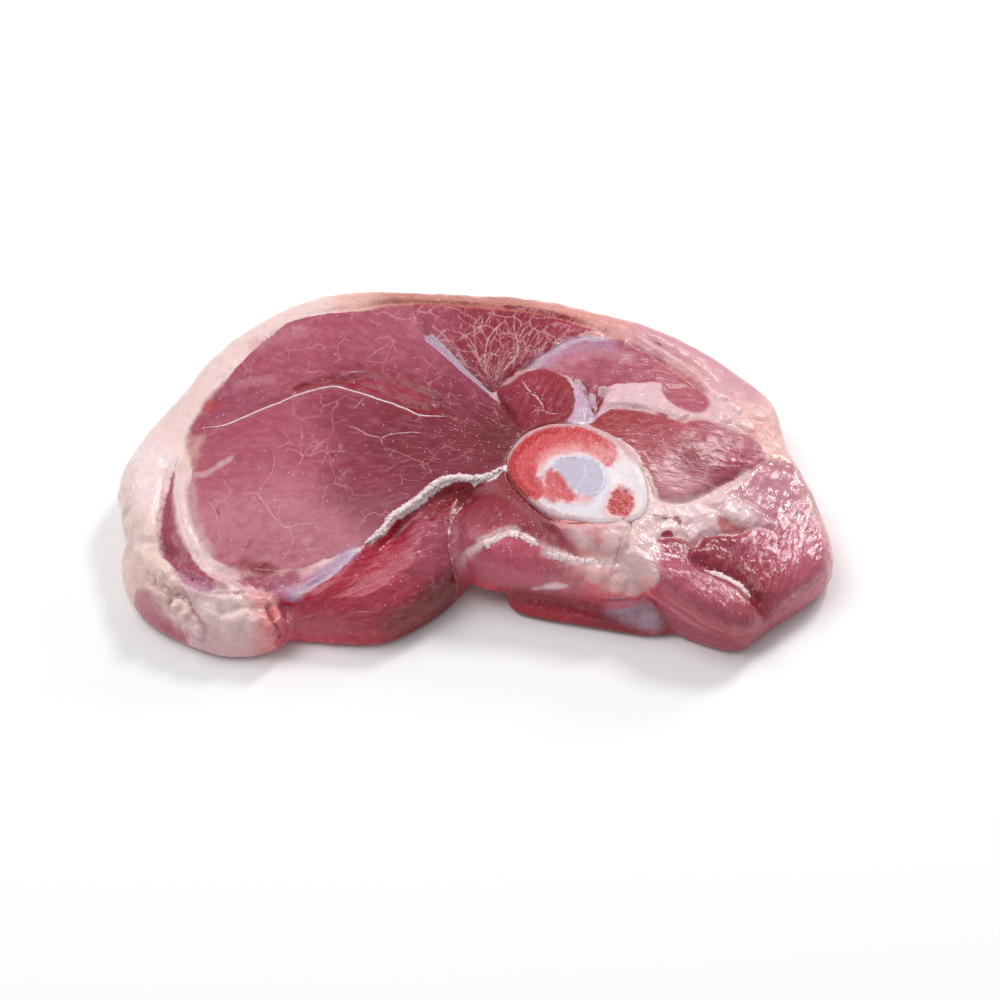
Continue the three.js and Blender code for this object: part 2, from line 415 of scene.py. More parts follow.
meat_mesh = even_skin("meat", VOXEL, FACET_PASSES)
draft = Skin(meat_mesh)
underneath = (draft.at[:, 2] < UNDERSIDE) & (draft.out[:, 2] < -0.7)
in_bone_box = np.all((draft.at > bone_low - 1) & (draft.at < bone_high + 1), axis=1)
faces_bone = np.einsum("ij,ij->i", draft.out, bone_middle - draft.at) > 0
in_hole = in_bone_box & faces_bone & (draft.at[:, 2] > 2) & (draft.at[:, 2] < HIDDEN_WALL)
hidden = underneath | in_hole
thinned_share = 1 - HIDDEN_REMOVED * hidden.mean()
full_count = 2 * len(meat_mesh.polygons)
meat = Skin(thin_out(meat_mesh, hidden, thinned_share))

# directions that are averaged over a bend grow shorter, which shows where the surface turns
mean_out = relax(meat.out.copy(), meat.edges, np.ones(len(meat.at)), BEND_REACH)
turning = 1 - np.linalg.norm(mean_out, axis=1)
by_bone = np.all((meat.at > bone_low - EASE_GAP) & (meat.at < bone_high + EASE_GAP), axis=1)
ease = EASE_STRENGTH * soft_step(turning, 0.01, 0.08) * soft_step(meat.at[:, 2], 2, 6) * ~by_bone
meat.at = relax(meat.at, meat.edges, ease, EASE_PASSES)
meat.at[:, 2] = np.maximum(meat.at[:, 2], 0)
meat.refresh()
print("skin of the meat:", full_count, "triangles, thinned to", len(meat.mesh.polygons), "faces")

# %% [markdown]
# ## The paint box
#
# Raw pork isn't red: its lean runs from dusty rose to a purplish mauve, and only the torn and
# bloody places are crimson. The skin could be painted by hand, but then nobody could read or
# change it here. So each tone gets a plain name, and a muscle is described by where it is rose
# and where it is plum. Tones are given as screen colours and used as light.

# %% Tones
TONES = {
    # lean
    "rose": (192, 118, 132), "old_rose": (178, 99, 116), "heather": (173, 97, 114),
    "mauve": (165, 90, 108), "dusk": (148, 76, 93), "plum": (134, 62, 78),
    "damson": (116, 48, 62), "orchid": (189, 107, 126), "crimson": (168, 76, 95),
    "claret": (146, 58, 78), "blood": (146, 40, 58), "wine": (112, 40, 46),
    "salmon": (184, 102, 108), "brick": (140, 68, 70), "lilac_rose": (205, 150, 162),
    "petal": (212, 158, 168), "coral": (214, 134, 134), "ember": (186, 84, 84),
    "film_rose": (190, 134, 154), "terracotta": (164, 76, 80), "raspberry": (184, 50, 78),
    "cherry": (194, 88, 108), "glow": (214, 110, 132),
    # fat and sinew
    "ivory": (244, 222, 222), "cream": (234, 208, 198), "shell": (228, 186, 176),
    "blush": (216, 158, 150), "peach": (226, 158, 150), "rim_pink": (196, 138, 128),
    "ash": (216, 180, 184), "fat_rose": (226, 190, 198), "vein": (214, 164, 174),
    "sinew": (234, 208, 206), "pearl": (240, 226, 230), "straw": (224, 196, 172),
    # silvery skins
    "lilac": (190, 160, 188), "mist": (202, 184, 202), "film_pink": (184, 106, 138),
    "slate": (156, 130, 162), "blue_film": (182, 164, 202),
    # bone
    "bone_rose": (206, 164, 170), "sawn_bone": (228, 217, 221), "bone_blue": (224, 218, 230),
    "disc": (194, 186, 204), "marrow": (208, 94, 98), "marrow_red": (186, 42, 56),
    "marrow_pale": (232, 172, 174), "clot": (184, 18, 40), "bone_skin": (214, 206, 198),
    "ink": (128, 112, 138),
}
SHEEN = 0.045  # the white light that a moist surface adds to its own colour


def light_of(tone):
    """A named tone as linear light, less the sheen that lies over it."""
    share = np.array(TONES[tone]) / 255
    light = np.where(share <= 0.04045, share / 12.92, ((share + 0.055) / 1.055) ** 2.4)
    return np.maximum(light - SHEEN, 0.25 * light)


def tone_blend(spots, dabs, softness):
    """The colour at each spot, blended from dabs of each tone at (x, y) or (x, y, z)."""
    colour = np.zeros((len(spots), 3))
    total = np.zeros(len(spots))
    for tone_name, middles in dabs.items():
        for middle in middles:
            distance = np.linalg.norm(spots[:, : len(middle)] - middle, axis=1)
            weight = (distance**2 + softness**2) ** -2
            colour += weight[:, None] * light_of(tone_name)
            total += weight
    return colour / total[:, None]


print(len(TONES), "tones")

# %% [markdown]
# ## The muscles
#
# Each muscle is an outline in plan, a few dabs of tone, and the way its fibres run. The
# slice is cut straight through, so the same plan serves the upper face, the walls and the
# underside. Fibres run at an angle, or fan out round a place where the muscle is anchored.

# %% Muscles
# outline; tones; fibres as an angle in degrees or a point to fan round; marbling; wetness
MUSCLES = {
    "broad": {
        "outline": [
            (-103, -7), (-105, 5), (-99, 20), (-93, 29), (-88, 37), (-82, 46), (-75, 54), (-68, 60),
            (-60, 63), (-49, 65), (-38, 66), (-31, 69), (-23, 70), (-17, 53), (-11, 46), (-5, 38),
            (2, 29), (7, 23), (10, 19), (15, 10), (19, 2), (15, -7), (12, -15), (5, -19), (-6, -20),
            (-13, -22), (-18, -27), (-25, -32), (-30, -37), (-38, -46), (-44, -48), (-54, -51),
            (-61, -53), (-71, -54), (-80, -54), (-87, -52), (-94, -48), (-99, -41), (-102, -32),
            (-104, -21), (-102, -14),
        ],
        "tones": {
            "rose": [(-90, -35), (-70, -42), (-52, -42), (-66, -24), (-80, -50)],
            "old_rose": [(-85, -10), (-62, -4), (-72, 8), (-62, 50)],
            "dusk": [(-42, -26), (-48, 12), (-30, -25), (-45, -8), (-6, 30), (-2, 20)],
            "plum": [(-30, -5), (-20, -14), (-5, -10), (-25, 8), (-8, 4), (6, -8), (6, 14)],
            "damson": [(8, 2), (14, -8)],
            "mauve": [(-85, 20), (-50, 42), (-20, 40)],
            "heather": [(-75, 38), (-35, 52), (-60, 60), (-22, 60)],
        },
        "fibres": (32, -12), "marbling": 0.35, "wet": 0.35,
    },
    "marbled": {
        "outline": [
            (-23, 70), (-10, 70), (6, 68), (23, 65), (35, 61), (46, 55), (44, 51), (34, 46), (24, 38),
            (15, 31), (9, 24), (4, 27), (-5, 38), (-11, 46), (-17, 53),
        ],
        "tones": {
            "claret": [(0, 62), (20, 60), (10, 45), (8, 32), (26, 48), (-2, 45)],
            "crimson": [(40, 55)],
            "mauve": [(-12, 58)],
        },
        "fibres": (8, 26), "marbling": 1.0, "wet": 0.6,
    },
    "round": {
        "outline": [
            (9, 24), (15, 32), (23, 36), (31, 34), (36, 28), (38, 20), (37, 10), (33, 5), (27, 4),
            (20, 1), (15, 9),
        ],
        "tones": {
            "claret": [(14, 18), (22, 12), (20, 5), (29, 17)],
            "crimson": [(24, 28)],
            "blood": [(35, 22), (34, 10), (28, 31)],
        },
        "fibres": 70, "marbling": 0.05, "wet": 0.35,
    },
    "corner": {
        "outline": [
            (22, 38), (28, 43), (34, 48), (43, 52), (57, 50), (69, 41), (78, 34), (86, 27), (88, 19),
            (84, 14), (79, 15), (74, 18), (71, 23), (70, 28), (62, 28), (54, 26.5), (50, 24), (48, 17),
            (45, 11), (43, 17), (40, 25), (37, 30), (30, 35),
        ],
        "tones": {
            "heather": [(45, 40), (60, 40), (44, 26), (55, 32), (75, 30)],
            "mauve": [(55, 46)],
            "old_rose": [(72, 36), (84, 20)],
            "blood": [(50, 20), (48, 14)],
            "ember": [(78, 24)],
            "rose": [(34, 38)],
        },
        "fibres": -10, "marbling": 0.05, "wet": 0.5,
    },
    "plump": {
        "outline": [
            (43, 5), (47, 10), (52, 15), (58, 15), (64, 14), (70, 11), (77, 9), (83, 11), (90, 10),
            (100, 6), (106, 1), (108, -5), (104, -9), (99, -13), (95, -16), (91, -18), (87, -22),
            (80, -26), (74, -27), (68, -27), (63, -18), (61, -10), (56, -4), (48, 1),
        ],
        "tones": {
            "terracotta": [(52, 6), (66, 6), (60, -4), (64, -14)],
            "salmon": [(78, 8)],
            "old_rose": [(72, -4), (100, -8), (92, -12)],
            "claret": [(84, -6)],
            "heather": [(90, 2), (98, 0)],
            "mauve": [(80, -12)],
            "petal": [(72, -18)],
            "lilac_rose": [(80, -20)],
        },
        "fibres": -8, "marbling": 0.4, "wet": 0.5,
    },
    "shank": {
        "outline": [
            (66, -46), (71, -43), (77, -42), (81, -45), (84, -40), (89, -39), (96, -38), (101, -36),
            (103, -32), (99, -27), (97, -20), (101, -13), (107, -7), (114, -5), (126, -10),
            (140, -40), (128, -62), (104, -90), (60, -80), (55, -62), (62, -58), (66, -52),
        ],
        "tones": {
            "crimson": [(72, -48), (84, -42), (106, -52)],
            "claret": [(80, -46), (92, -50), (86, -58)],
            "heather": [(92, -44)],
            "orchid": [(100, -38), (112, -42), (120, -52), (70, -56), (78, -60), (88, -64),
                (74, -66, 22), (120, -60, 8), (110, -66, 12)],
            "blood": [(98, -58), (102, -64)],
            "lilac_rose": [(110, -20), (118, -26)],
            "rose": [(124, -40)],
            "salmon": [(96, -70)],
            "old_rose": [(86, -72, 18), (94, -75, 16), (104, -70, 6)],
            "mauve": [(76, -70, 6), (90, -75, 6), (66, -66, 6)],
            "petal": [(130, -45, 8), (130, -30, 8)],
        },
        "fibres": (104, -92), "marbling": 0.1, "wet": 1.0,
    },
    "lower": {
        "outline": [
            (1, -22), (9, -20), (12, -17), (16, -23), (20, -31), (27, -39), (32, -46), (40, -51),
            (43, -54), (42, -62), (30, -66), (10, -64), (-4, -55), (-8, -46), (-7, -36), (-3, -28),
        ],
        "tones": {
            "claret": [(4, -30), (-2, -38), (8, -40), (28, -44)],
            "blood": [(12, -28), (20, -40)],
            "glow": [(10, -50), (24, -52), (14, -48)],
            "coral": [(36, -55), (40, -57)],
            "orchid": [(0, -51, 12), (16, -57, 10), (30, -50), (2, -48), (-5, -44)],
            "rose": [(34, -58, 20)],
        },
        "fibres": (26, -16), "marbling": 0.1, "wet": 0.5,
    },
    "hanging": {
        "outline": [
            (-69, -63), (-62, -63), (-53, -59), (-47, -55), (-41, -49.5), (-37, -46.5), (-31, -42),
            (-28, -37.5), (-23, -33.5), (-17, -28.5), (-12, -24), (-4, -21), (1, -22), (-3, -28),
            (-7, -36), (-8, -46), (-4, -55), (6, -60), (-10, -75), (-40, -84), (-72, -84), (-68, -72),
        ],
        "tones": {
            "raspberry": [(-58, -66, 16), (-45, -63, 18), (-35, -52, 22), (-28, -44, 25)],
            "cherry": [(-35, -64, 20), (-25, -58, 22)],
            "orchid": [(-50, -70, 10), (-20, -52, 24)],
            "crimson": [(-40, -72, 5)],
            "rose": [(-62, -71, 9)],
            "brick": [(-22, -66, 10), (-20, -68, 4), (-14, -62, 16)],
            "wine": [(-10, -58, 8), (-2, -48, 10), (-4, -36, 20)],
            "heather": [(-16, -45, 26), (-14, -36, 28)],
            "blood": [(-10, -27, 28), (-6, -24, 28)],
            "claret": [(-26, -36, 28)],
        },
        "fibres": 24, "marbling": 0.25, "wet": 0.7,
    },
    "skin muscle": {
        "outline": [
            (-122, -57), (-116, -59), (-111, -65), (-107, -69), (-102, -73), (-100, -77), (-106, -86),
            (-128, -70),
        ],
        "tones": {
            "lilac_rose": [(-118, -60, 11), (-108, -66, 12)],
            "film_rose": [(-98, -73, 10)],
            "heather": [(-108, -72, 4), (-120, -66, 3)],
        },
        "fibres": -35, "marbling": 0.0, "wet": 0.6,
    },
    "hollow": {  # the pink trough between the fat roll and the sheet of sinew
        "outline": [
            (-108, -4), (-110, -12), (-112, -22), (-113, -32), (-113, -40), (-110, -50), (-106, -56),
            (-98, -61), (-91, -64), (-92, -60), (-98, -52), (-103, -44), (-106, -36), (-108, -26),
            (-109, -14),
        ],
        "tones": {
            "old_rose": [(-109, -12)],
            "mauve": [(-111, -28), (-111, -42), (-104, -52), (-108, -48)],
            "heather": [(-96, -60)],
        },
        "fibres": 80, "marbling": 0.0, "wet": 0.6,
    },
    "tongue": {
        "outline": [
            (12, -50), (13, -58), (24, -66), (40, -70), (52, -72), (64, -74), (68, -66), (62, -57),
            (44, -55), (24, -52),
        ],
        "tones": {"wine": [(30, -60), (20, -58), (50, -64)], "claret": [(36, -63)]},
        "fibres": 10, "marbling": 0.15, "wet": 0.8, "below": 15,
    },
}

# Where the fat, the sinew and the connective skins are which tone.
FAT_DABS = {
    "rim_pink": [(-20, 76), (10, 74), (-30, 70), (0, 70), (20, 68)],
    "shell": [(-45, 73), (-116, -58), (104, 18), (110, -2)],
    "sinew": [(-60, 70), (-84, 52), (-70, 62), (-96, 38), (-106, 24), (-112, 10), (70, -30), (80, -30),
        (90, -28), (68, -38), (60, -42), (55, -58), (-105, -30), (-98, -50)],
    "ivory": [(-117, -2), (-118, -14), (-120, -26), (-110, -58), (-104, -64), (-90, -68), (-82, -70),
        (-35, -44)],
    "cream": [(-126, -24, 14), (-120, -42), (-122, -52), (-45, 76, 8), (62, -58), (56, -44)],
    "straw": [(-126, -32, 10)],
    "ash": [(-98, -62), (-92, -75), (90, 28), (74, 13), (66, 28), (48, 4), (98, -16), (-84, -60)],
    "coral": [(-75, -66), (-71, -72), (38, -46), (48, -46)],
    "blush": [(30, 66), (42, 60), (52, 60), (84, 38), (0, 78, 8), (40, 68, 8), (104, 8)],
    "petal": [(64, 55), (78, 48), (90, 40), (98, 30), (80, 50, 8), (104, 22, 8), (94, -21), (60, -62)],
    "lilac_rose": [(94, 36)],
    "fat_rose": [(95, 24), (90, 18), (96, 14), (60, 21), (56, 22), (68, 20), (84, -36), (64, -36),
        (61, -52), (50, -60)],
    "lilac": [(40, 12)],
    "peach": [(46, -58), (34, -50)],
    "pearl": [(0, -19), (-20, -29)],
}
TONE_SOFTNESS = 8
FAN_SIZE = 45  # mm from a fan's centre where its fibres lie at their true distance


def fibre_places(spots, fibres):
    """Places in millimetres along the fibres, across them, and down."""
    if isinstance(fibres, tuple):
        reach = spots[:, :2] - fibres
        far = np.hypot(reach[:, 0], reach[:, 1])
        ahead = reach.mean(0)
        turn = np.arctan2(ahead[0] * reach[:, 1] - ahead[1] * reach[:, 0], reach @ ahead)
        return np.column_stack([far, turn * FAN_SIZE, spots[:, 2]])
    turn = math.radians(fibres)
    along = spots[:, 0] * math.cos(turn) + spots[:, 1] * math.sin(turn)
    across = spots[:, 1] * math.cos(turn) - spots[:, 0] * math.sin(turn)
    return np.column_stack([along, across, spots[:, 2]])


print(len(MUSCLES), "muscles,", sum(map(len, FAT_DABS.values())), "dabs of fat tone")

# %% [markdown]
# ## Carving
#
# The muscles bulge between the seams that hold them. A sculptor would draw these by brush;
# here a brush is a route and a width. Each seam is pressed in twice: as a wide soft furrow
# and as a narrow crease inside it. Ridges stand up the same way, with a rise instead of a
# depth. Flaps, hollows and lobes are outlines with a soft edge. Lumps of fat are round
# swellings with a faint crease round each. A smooth noise moves the places that they are
# measured from, so that no lump is a perfect ball.

# %% Seams, ridges and flaps
THREAD_LINE = [
    (-100, 8), (-92, 9), (-84, 13), (-77, 17), (-71, 20), (-66, 23), (-59, 26), (-51, 28), (-44, 25),
    (-39, 23), (-35, 21), (-28, 18), (-24, 16), (-20, 13), (-15, 12), (-9, 11),
]
CORD_LINE = [
    (-38, -46), (-32, -41), (-29, -36), (-24, -32), (-18, -27), (-13, -22), (-7, -20), (0, -20),
    (6, -19), (11, -16),
]
LADDER_LINE = [(-18, 54), (-14, 50), (-9, 44), (-4, 37), (1, 31), (5, 26), (9, 21)]
SKIN_SEAM = [(-22, 68), (-18, 54), (-9, 44), (1, 31), (9, 21), (14, 13), (18, 4)]
TEAR = [
    (-66, 25), (-62, 29), (-55, 31), (-48, 32), (-38, 33), (-28, 29), (-18, 25), (-12, 21), (-12, 14),
    (-20, 15), (-28, 20), (-39, 25), (-51, 30), (-59, 28),
]
RIM_SEAM = [(57, 52), (64, 48), (71, 43), (78, 40), (85, 35), (90, 31), (93, 25)]
RIM_STREAK = [(62, 52), (69, 48), (78, 42), (86, 39), (91, 35), (95, 27), (101, 21)]
SINEW_LOBE = [
    (87, -27), (91, -25), (96, -24), (101, -26), (105, -29), (110, -33), (106, -34), (98, -34), (92, -31),
]
CORNER_LOBE = [(-98, -66), (-90, -66), (-82, -67), (-79, -71), (-84, -75), (-93, -74)]

# route, half width, rise (less than 0 is a furrow)
LINES = [
    (THREAD_LINE, 3.0, -0.6),
    (SKIN_SEAM, 3.5, -0.9),
    ([(10, 19), (14, 13), (18, 5)], 1.0, -1.2),
    ([(9, 24), (15, 33), (23, 37), (31, 35), (36, 30)], 2.2, -0.9),
    ([(37, 30), (42, 23), (45, 13), (43, 6)], 1.8, -1.2),
    ([(9, 25), (16, 34), (24, 40), (32, 47), (38, 51), (46, 53), (56, 51)], 2.5, -0.7),
    ([(50, 25), (47, 20), (45, 13)], 2.4, -2.2),
    ([(46, 10), (52, 15), (58, 15), (64, 14), (70, 11), (77, 9), (83, 12)], 1.8, -0.8),
    ([(62, -15), (67, -26), (74, -28), (81, -26), (87, -22), (92, -18), (98, -14), (103, -9)],
     2.2, -1.4),
    ([(66, -46), (71, -43), (77, -42), (81, -45), (84, -40), (89, -39), (96, -38), (102, -35)], 1.8, -1.0),
    ([(78, -50), (84, -52), (90, -54), (96, -57), (100, -62), (104, -66), (107, -69)], 2.8, -2.2),
    ([(84, -54, 23), (90, -56, 22), (94, -58, 21), (98, -61, 20), (102, -66, 17), (106, -69, 12)], 1.1, -1.2),
    ([(13, -16), (15, -23), (20, -30), (27, -38), (33, -41)], 0.9, -1.8),
    ([(33, -42), (42, -42), (52, -41), (58, -37)], 0.6, -0.5),
    ([(58, -37), (57, -43), (57, -48), (55, -53)], 1.6, -0.7),
    ([(-4, -48), (6, -47), (14, -43), (20, -44), (27, -49)], 1.6, -0.5),
    ([(0, -23, 28), (-4, -29, 26), (-8, -36, 23), (-9, -44, 18), (-6, -51, 12)], 2.6, -1.6),
    ([(-16, -36, 27), (-12, -31, 29), (-7, -26, 30), (-4, -24, 30)], 2.2, -1.1),
    ([(-36, -49, 22), (-26, -37, 26), (-14, -27, 28), (-5, -23, 29)], 2.0, -0.6),
    (CORD_LINE, 1.7, 0.7),
    ([(-109, -6), (-111, -18), (-112, -32), (-110, -46), (-103, -55), (-94, -62)], 3.0, -1.6),
    ([(-105, -8), (-106, -22), (-103, -36), (-97, -48), (-88, -57), (-78, -60)], 2.2, 0.7),
    ([(-113, -5), (-115, -18), (-116, -30), (-114, -42)], 2.5, 0.8),
    ([(-130, -26, 16), (-124, -25, 21), (-119, -24, 22), (-118, -28, 22), (-122, -33, 18)], 1.3, -1.8),
    ([(-127, -44, 12), (-122, -40, 19), (-117, -40, 21), (-113, -44, 22)], 2.4, -1.2),
    ([(-112, -60, 16), (-107, -62, 18), (-103, -66, 15), (-100, -72, 10)], 1.4, -1.0),
    ([(-96, -68, 17), (-89, -70, 17), (-82, -68, 18), (-78, -63, 18)], 1.3, -0.9),
    ([(-94, -74, 13), (-88, -76, 11), (-84, -73, 14)], 1.3, -0.9),
    ([(-73, -65, 15), (-71, -71, 15), (-68, -76, 10)], 1.3, -2.2),
    ([(-66, -64, 15), (-66, -70, 12), (-67, -76, 6)], 1.6, -1.8),
    ([(-68, 58), (-60, 64), (-45, 67), (-30, 71), (-10, 71), (8, 69), (26, 65), (46, 57), (58, 50)],
     1.3, -0.9),
    ([(58, 50), (70, 42), (80, 34), (88, 26)], 1.6, -1.3),
    ([(56, 56), (70, 47), (82, 38), (90, 28)], 1.2, 0.6),
    ([(64, 53), (78, 44), (88, 36), (95, 26), (99, 18)], 1.3, -0.9),
    ([(-96, 28), (-90, 35), (-82, 46), (-72, 56)], 1.3, -0.7),
    ([(-70, -61), (-62, -60), (-54, -56), (-47, -52), (-41, -48)], 1.4, 0.5),
    ([(-52, -68, 12), (-40, -66, 18), (-30, -60, 21), (-22, -52, 24)], 2.2, 0.5),
    ([(-17, -35, 28), (-18, -43, 27), (-20, -51, 25), (-22, -57, 22)], 3.6, 1.2),
]

# outline, softness of its edge, rise
FLAPS = [
    # the tear behind the thread, and the sliver of torn meat that stands in it
    (TEAR, 2.0, -1.5),
    ([(-44, 27), (-40, 31), (-32, 31), (-24, 26), (-18, 22), (-14, 17), (-22, 18), (-30, 22)], 1.8, 0.9),
    # the flap of fat right of the small round muscle, and the lean island in it
    ([(49, 16), (50, 24), (53, 27), (60, 26), (63, 28), (70, 29), (71, 24), (73, 20), (77, 15), (80, 13),
      (78, 10), (75, 8), (69, 11), (63, 15), (57, 16)], 0.5, 0.9),
    ([(70, 24), (74, 28), (81, 29), (86, 26), (88, 19), (85, 15), (80, 14), (75, 16), (72, 20)], 1.2, -0.4),
    # the crescent of silvery skin round the small muscle
    ([(36, 30), (40, 25), (43, 18), (44, 11), (42, 6), (36, 4), (37, 9), (39, 14), (38, 22)], 0.6, 0.4),
    ([(10, 21), (17, 30), (26, 33), (34, 30), (38, 20), (37, 9), (30, 5), (21, 4), (15, 10)], 4.0, 0.9),
    # the pale lobe of sinew and the hollow under it
    (SINEW_LOBE, 0.8, 0.9),
    ([(90, -33), (96, -35), (101, -36), (97, -38), (91, -38)], 1.2, -1.0),
    # the wet lobe under the bone
    ([(32, -43), (44, -42), (55, -42), (57, -47), (55, -52), (46, -52), (38, -50), (31, -46)], 2.5, 1.3),
    # the rolled fold at the end of the shank
    ([(68, -58), (77, -57), (86, -58), (92, -60), (96, -62), (100, -68), (102, -72), (97, -76), (88, -75),
      (78, -71), (71, -66)], 3.0, 1.8),
    # lumps of fat in the front left corner
    ([(-114, -51), (-109, -51), (-107, -55), (-109, -58), (-114, -56)], 1.2, 2.0),
    ([(-111, -57), (-107, -57), (-105, -62), (-108, -64), (-112, -61)], 1.0, 2.0),
    ([(-106, -64), (-102, -65), (-100, -69), (-104, -70)], 0.9, 2.0),
    ([(-103, -70), (-98, -70), (-95, -74), (-99, -76)], 0.9, 1.6),
    (CORNER_LOBE, 1.6, 1.5),
    ([(-80, -63), (-74, -62), (-69, -65), (-68, -73), (-72, -78), (-79, -76), (-80, -69)], 1.6, 1.3),
    ([(-107, -57), (-102, -61), (-94, -65), (-92, -63), (-98, -58), (-104, -55)], 1.2, -1.0),
    ([(88, 24), (92, 25), (97, 23), (97, 16), (99, 9), (91, 11), (89, 17)], 1.5, 0.9),
    # swelling of the broad muscle between its seams
    ([(-98, -8), (-92, 4), (-70, 16), (-45, 22), (-20, 8), (5, -4), (2, -16), (-30, -30), (-48, -44),
      (-80, -48), (-96, -36)], 9.0, 0.8),
]

# middle, radius, rise: round lumps, each with a crease round it
LUMPS = [
    ((-112, -55, 17), 3.6, 2.2), ((-108, -60, 17), 3.2, 2.2), ((-105, -65, 15), 3.4, 2.2),
    ((-101, -69, 13), 2.8, 2.0), ((-97, -73, 11), 3.0, 1.6), ((-114, -48, 18), 4.0, 1.2),
    ((-93, -69, 16), 5.0, 1.0), ((-86, -67, 17), 4.5, 1.0), ((-86, -74, 12), 4.0, 0.8),
    ((-77, -71, 13), 5.0, 1.2), ((-73, -75, 9), 3.5, 0.9), ((-118, -40, 19), 6.0, 0.9),
    ((93, 24, 26), 3.5, 1.0), ((97, 18, 25), 3.5, 1.1), ((94, 12, 27), 3.0, 0.9),
    ((101, 10, 25), 4.0, 0.8), ((106, 16, 22), 4.5, 1.1), ((110, 10, 20), 4.0, 1.0),
    ((38, -55, 23), 3.5, 0.6), ((45, -57, 22), 4.0, 0.8), ((52, -59, 20), 4.0, 0.8),
    ((58, -60, 18), 4.0, 0.7), ((62, -54, 22), 4.0, 0.6), ((66, -58, 20), 3.5, 0.7),
    ((40, -47, 29), 5.0, 0.5), ((50, -47, 29), 5.0, 0.6), ((94, -29, 26), 4.0, 0.6),
    ((101, -30, 25), 4.5, 0.7), ((76, -33, 27), 4.0, 0.5), ((68, -34, 28), 3.5, 0.5),
]
print(len(LINES), "lines,", len(FLAPS), "flaps and", len(LUMPS), "lumps to carve")

# %% Carving the skin
LUMP_GAIN = 1.3  # height of a lump's very middle for each mm of its rise
LUMP_CREASE = 0.35  # depth of the crease round a lump, as a share of its rise
LUMP_SWIRL = 1.2  # mm that the noise moves the places which lumps are measured from

for points, half_width, rise in LINES:
    far, _, share = meat.along(points, 3 * half_width)
    amount = rise * np.exp(-((far / half_width) ** 2)) * fade_ends(share)
    in_plan = len(points[0]) == 2
    meat.push(amount * (meat.up if in_plan else 1))
    if rise < 0 and in_plan:
        crease = 0.5 * rise * np.exp(-((far / (0.45 * half_width)) ** 2)) * fade_ends(share)
        meat.push(crease * meat.up)
for outline, edge, rise in FLAPS:
    depth = meat.depth_in(outline)
    meat.push(rise * soft_step(depth, -edge, edge) * meat.up)
swirl = np.column_stack([rough(meat.at, 6, 2, seed=seed) for seed in (21.0, 33.0, 45.0)])
lump_places = meat.at + LUMP_SWIRL * swirl
lump_share = np.zeros(len(meat.at))
for middle, radius, rise in LUMPS:
    far = np.linalg.norm(lump_places - middle, axis=1) / radius
    lump_share = np.maximum(lump_share, soft_step(far, 1.1, 0.4))
    crease = LUMP_CREASE * np.exp(-(((far - 1.15) / 0.25) ** 2))
    meat.push(LUMP_GAIN * rise * (soft_step(far, 1.2, 0.3) - crease))
meat.refresh()
print("carved skin is", round(float(meat.at[:, 2].max()), 1), "mm high")

# %% [markdown]
# ## Painting by muscle
#
# Lean and fat could be faces of two materials, but their border would then follow the net's
# squares. So each point of the skin belongs to the muscle it lies deepest in, and how deep it
# lies in any muscle at all is kept as one number: the material cuts the line between lean and
# fat from it, finer and more ragged than the net of points could hold.

# %% Lean and fat
OUTSIDE = -12.0  # depth of a point that lies in no muscle

spots = meat.at
lean_depth = np.full(len(spots), OUTSIDE)
lean_tone = np.tile(light_of("mauve"), (len(spots), 1))
fibres = np.column_stack([spots[:, 0], spots[:, 1], spots[:, 2]])
marbling = np.zeros(len(spots))
wet = np.full(len(spots), 0.3)
second_depth = np.full(len(spots), OUTSIDE)

for muscle in MUSCLES.values():
    depth = meat.depth_in(muscle["outline"])
    if "below" in muscle:
        depth = np.where((spots[:, 2] < muscle["below"]) & (depth > 0), depth + 6, OUTSIDE)
    won = depth > lean_depth
    second_depth = np.where(won, lean_depth, np.maximum(second_depth, depth))
    lean_depth[won] = depth[won]
    lean_tone[won] = tone_blend(spots[won], muscle["tones"], TONE_SOFTNESS)
    fibres[won] = fibre_places(spots[won], muscle["fibres"])
    marbling[won] = muscle["marbling"]
    wet[won] = muscle["wet"]

# the wall below the bone isn't cut straight: its fat shows only along the top, here in (x, z)
WALL_FAT = [(38, 36), (40, 25), (46, 20), (54, 17.5), (61, 17), (65, 21), (67, 36)]


def depth_in_wall(outline):
    """How far inside an outline in (x, z) each point of the skin lies."""
    ring = smooth_path(outline, closed=True)
    on_wall = meat.at[:, [0, 2]]
    far, _, _ = follow(on_wall, ring)
    return np.where(is_inside(on_wall, ring), far, -far)


faces_front = soft_step(-meat.out[:, 1], 0.15, 0.5)
under_bone = faces_front * soft_step(np.abs(spots[:, 0] - 42), 32, 28)
lean_depth += under_bone * (np.clip(-depth_in_wall(WALL_FAT), -3, 4) - lean_depth)

fat_tone = tone_blend(spots, FAT_DABS, TONE_SOFTNESS)
grain_share = soft_step(lean_depth - second_depth, 0.2, 1.6)  # 0 where the fibres change direction
grain_share *= 0.35 + 0.65 * meat.up
print("lean covers", round(100 * float((lean_depth > 0).mean())), "% of the points")
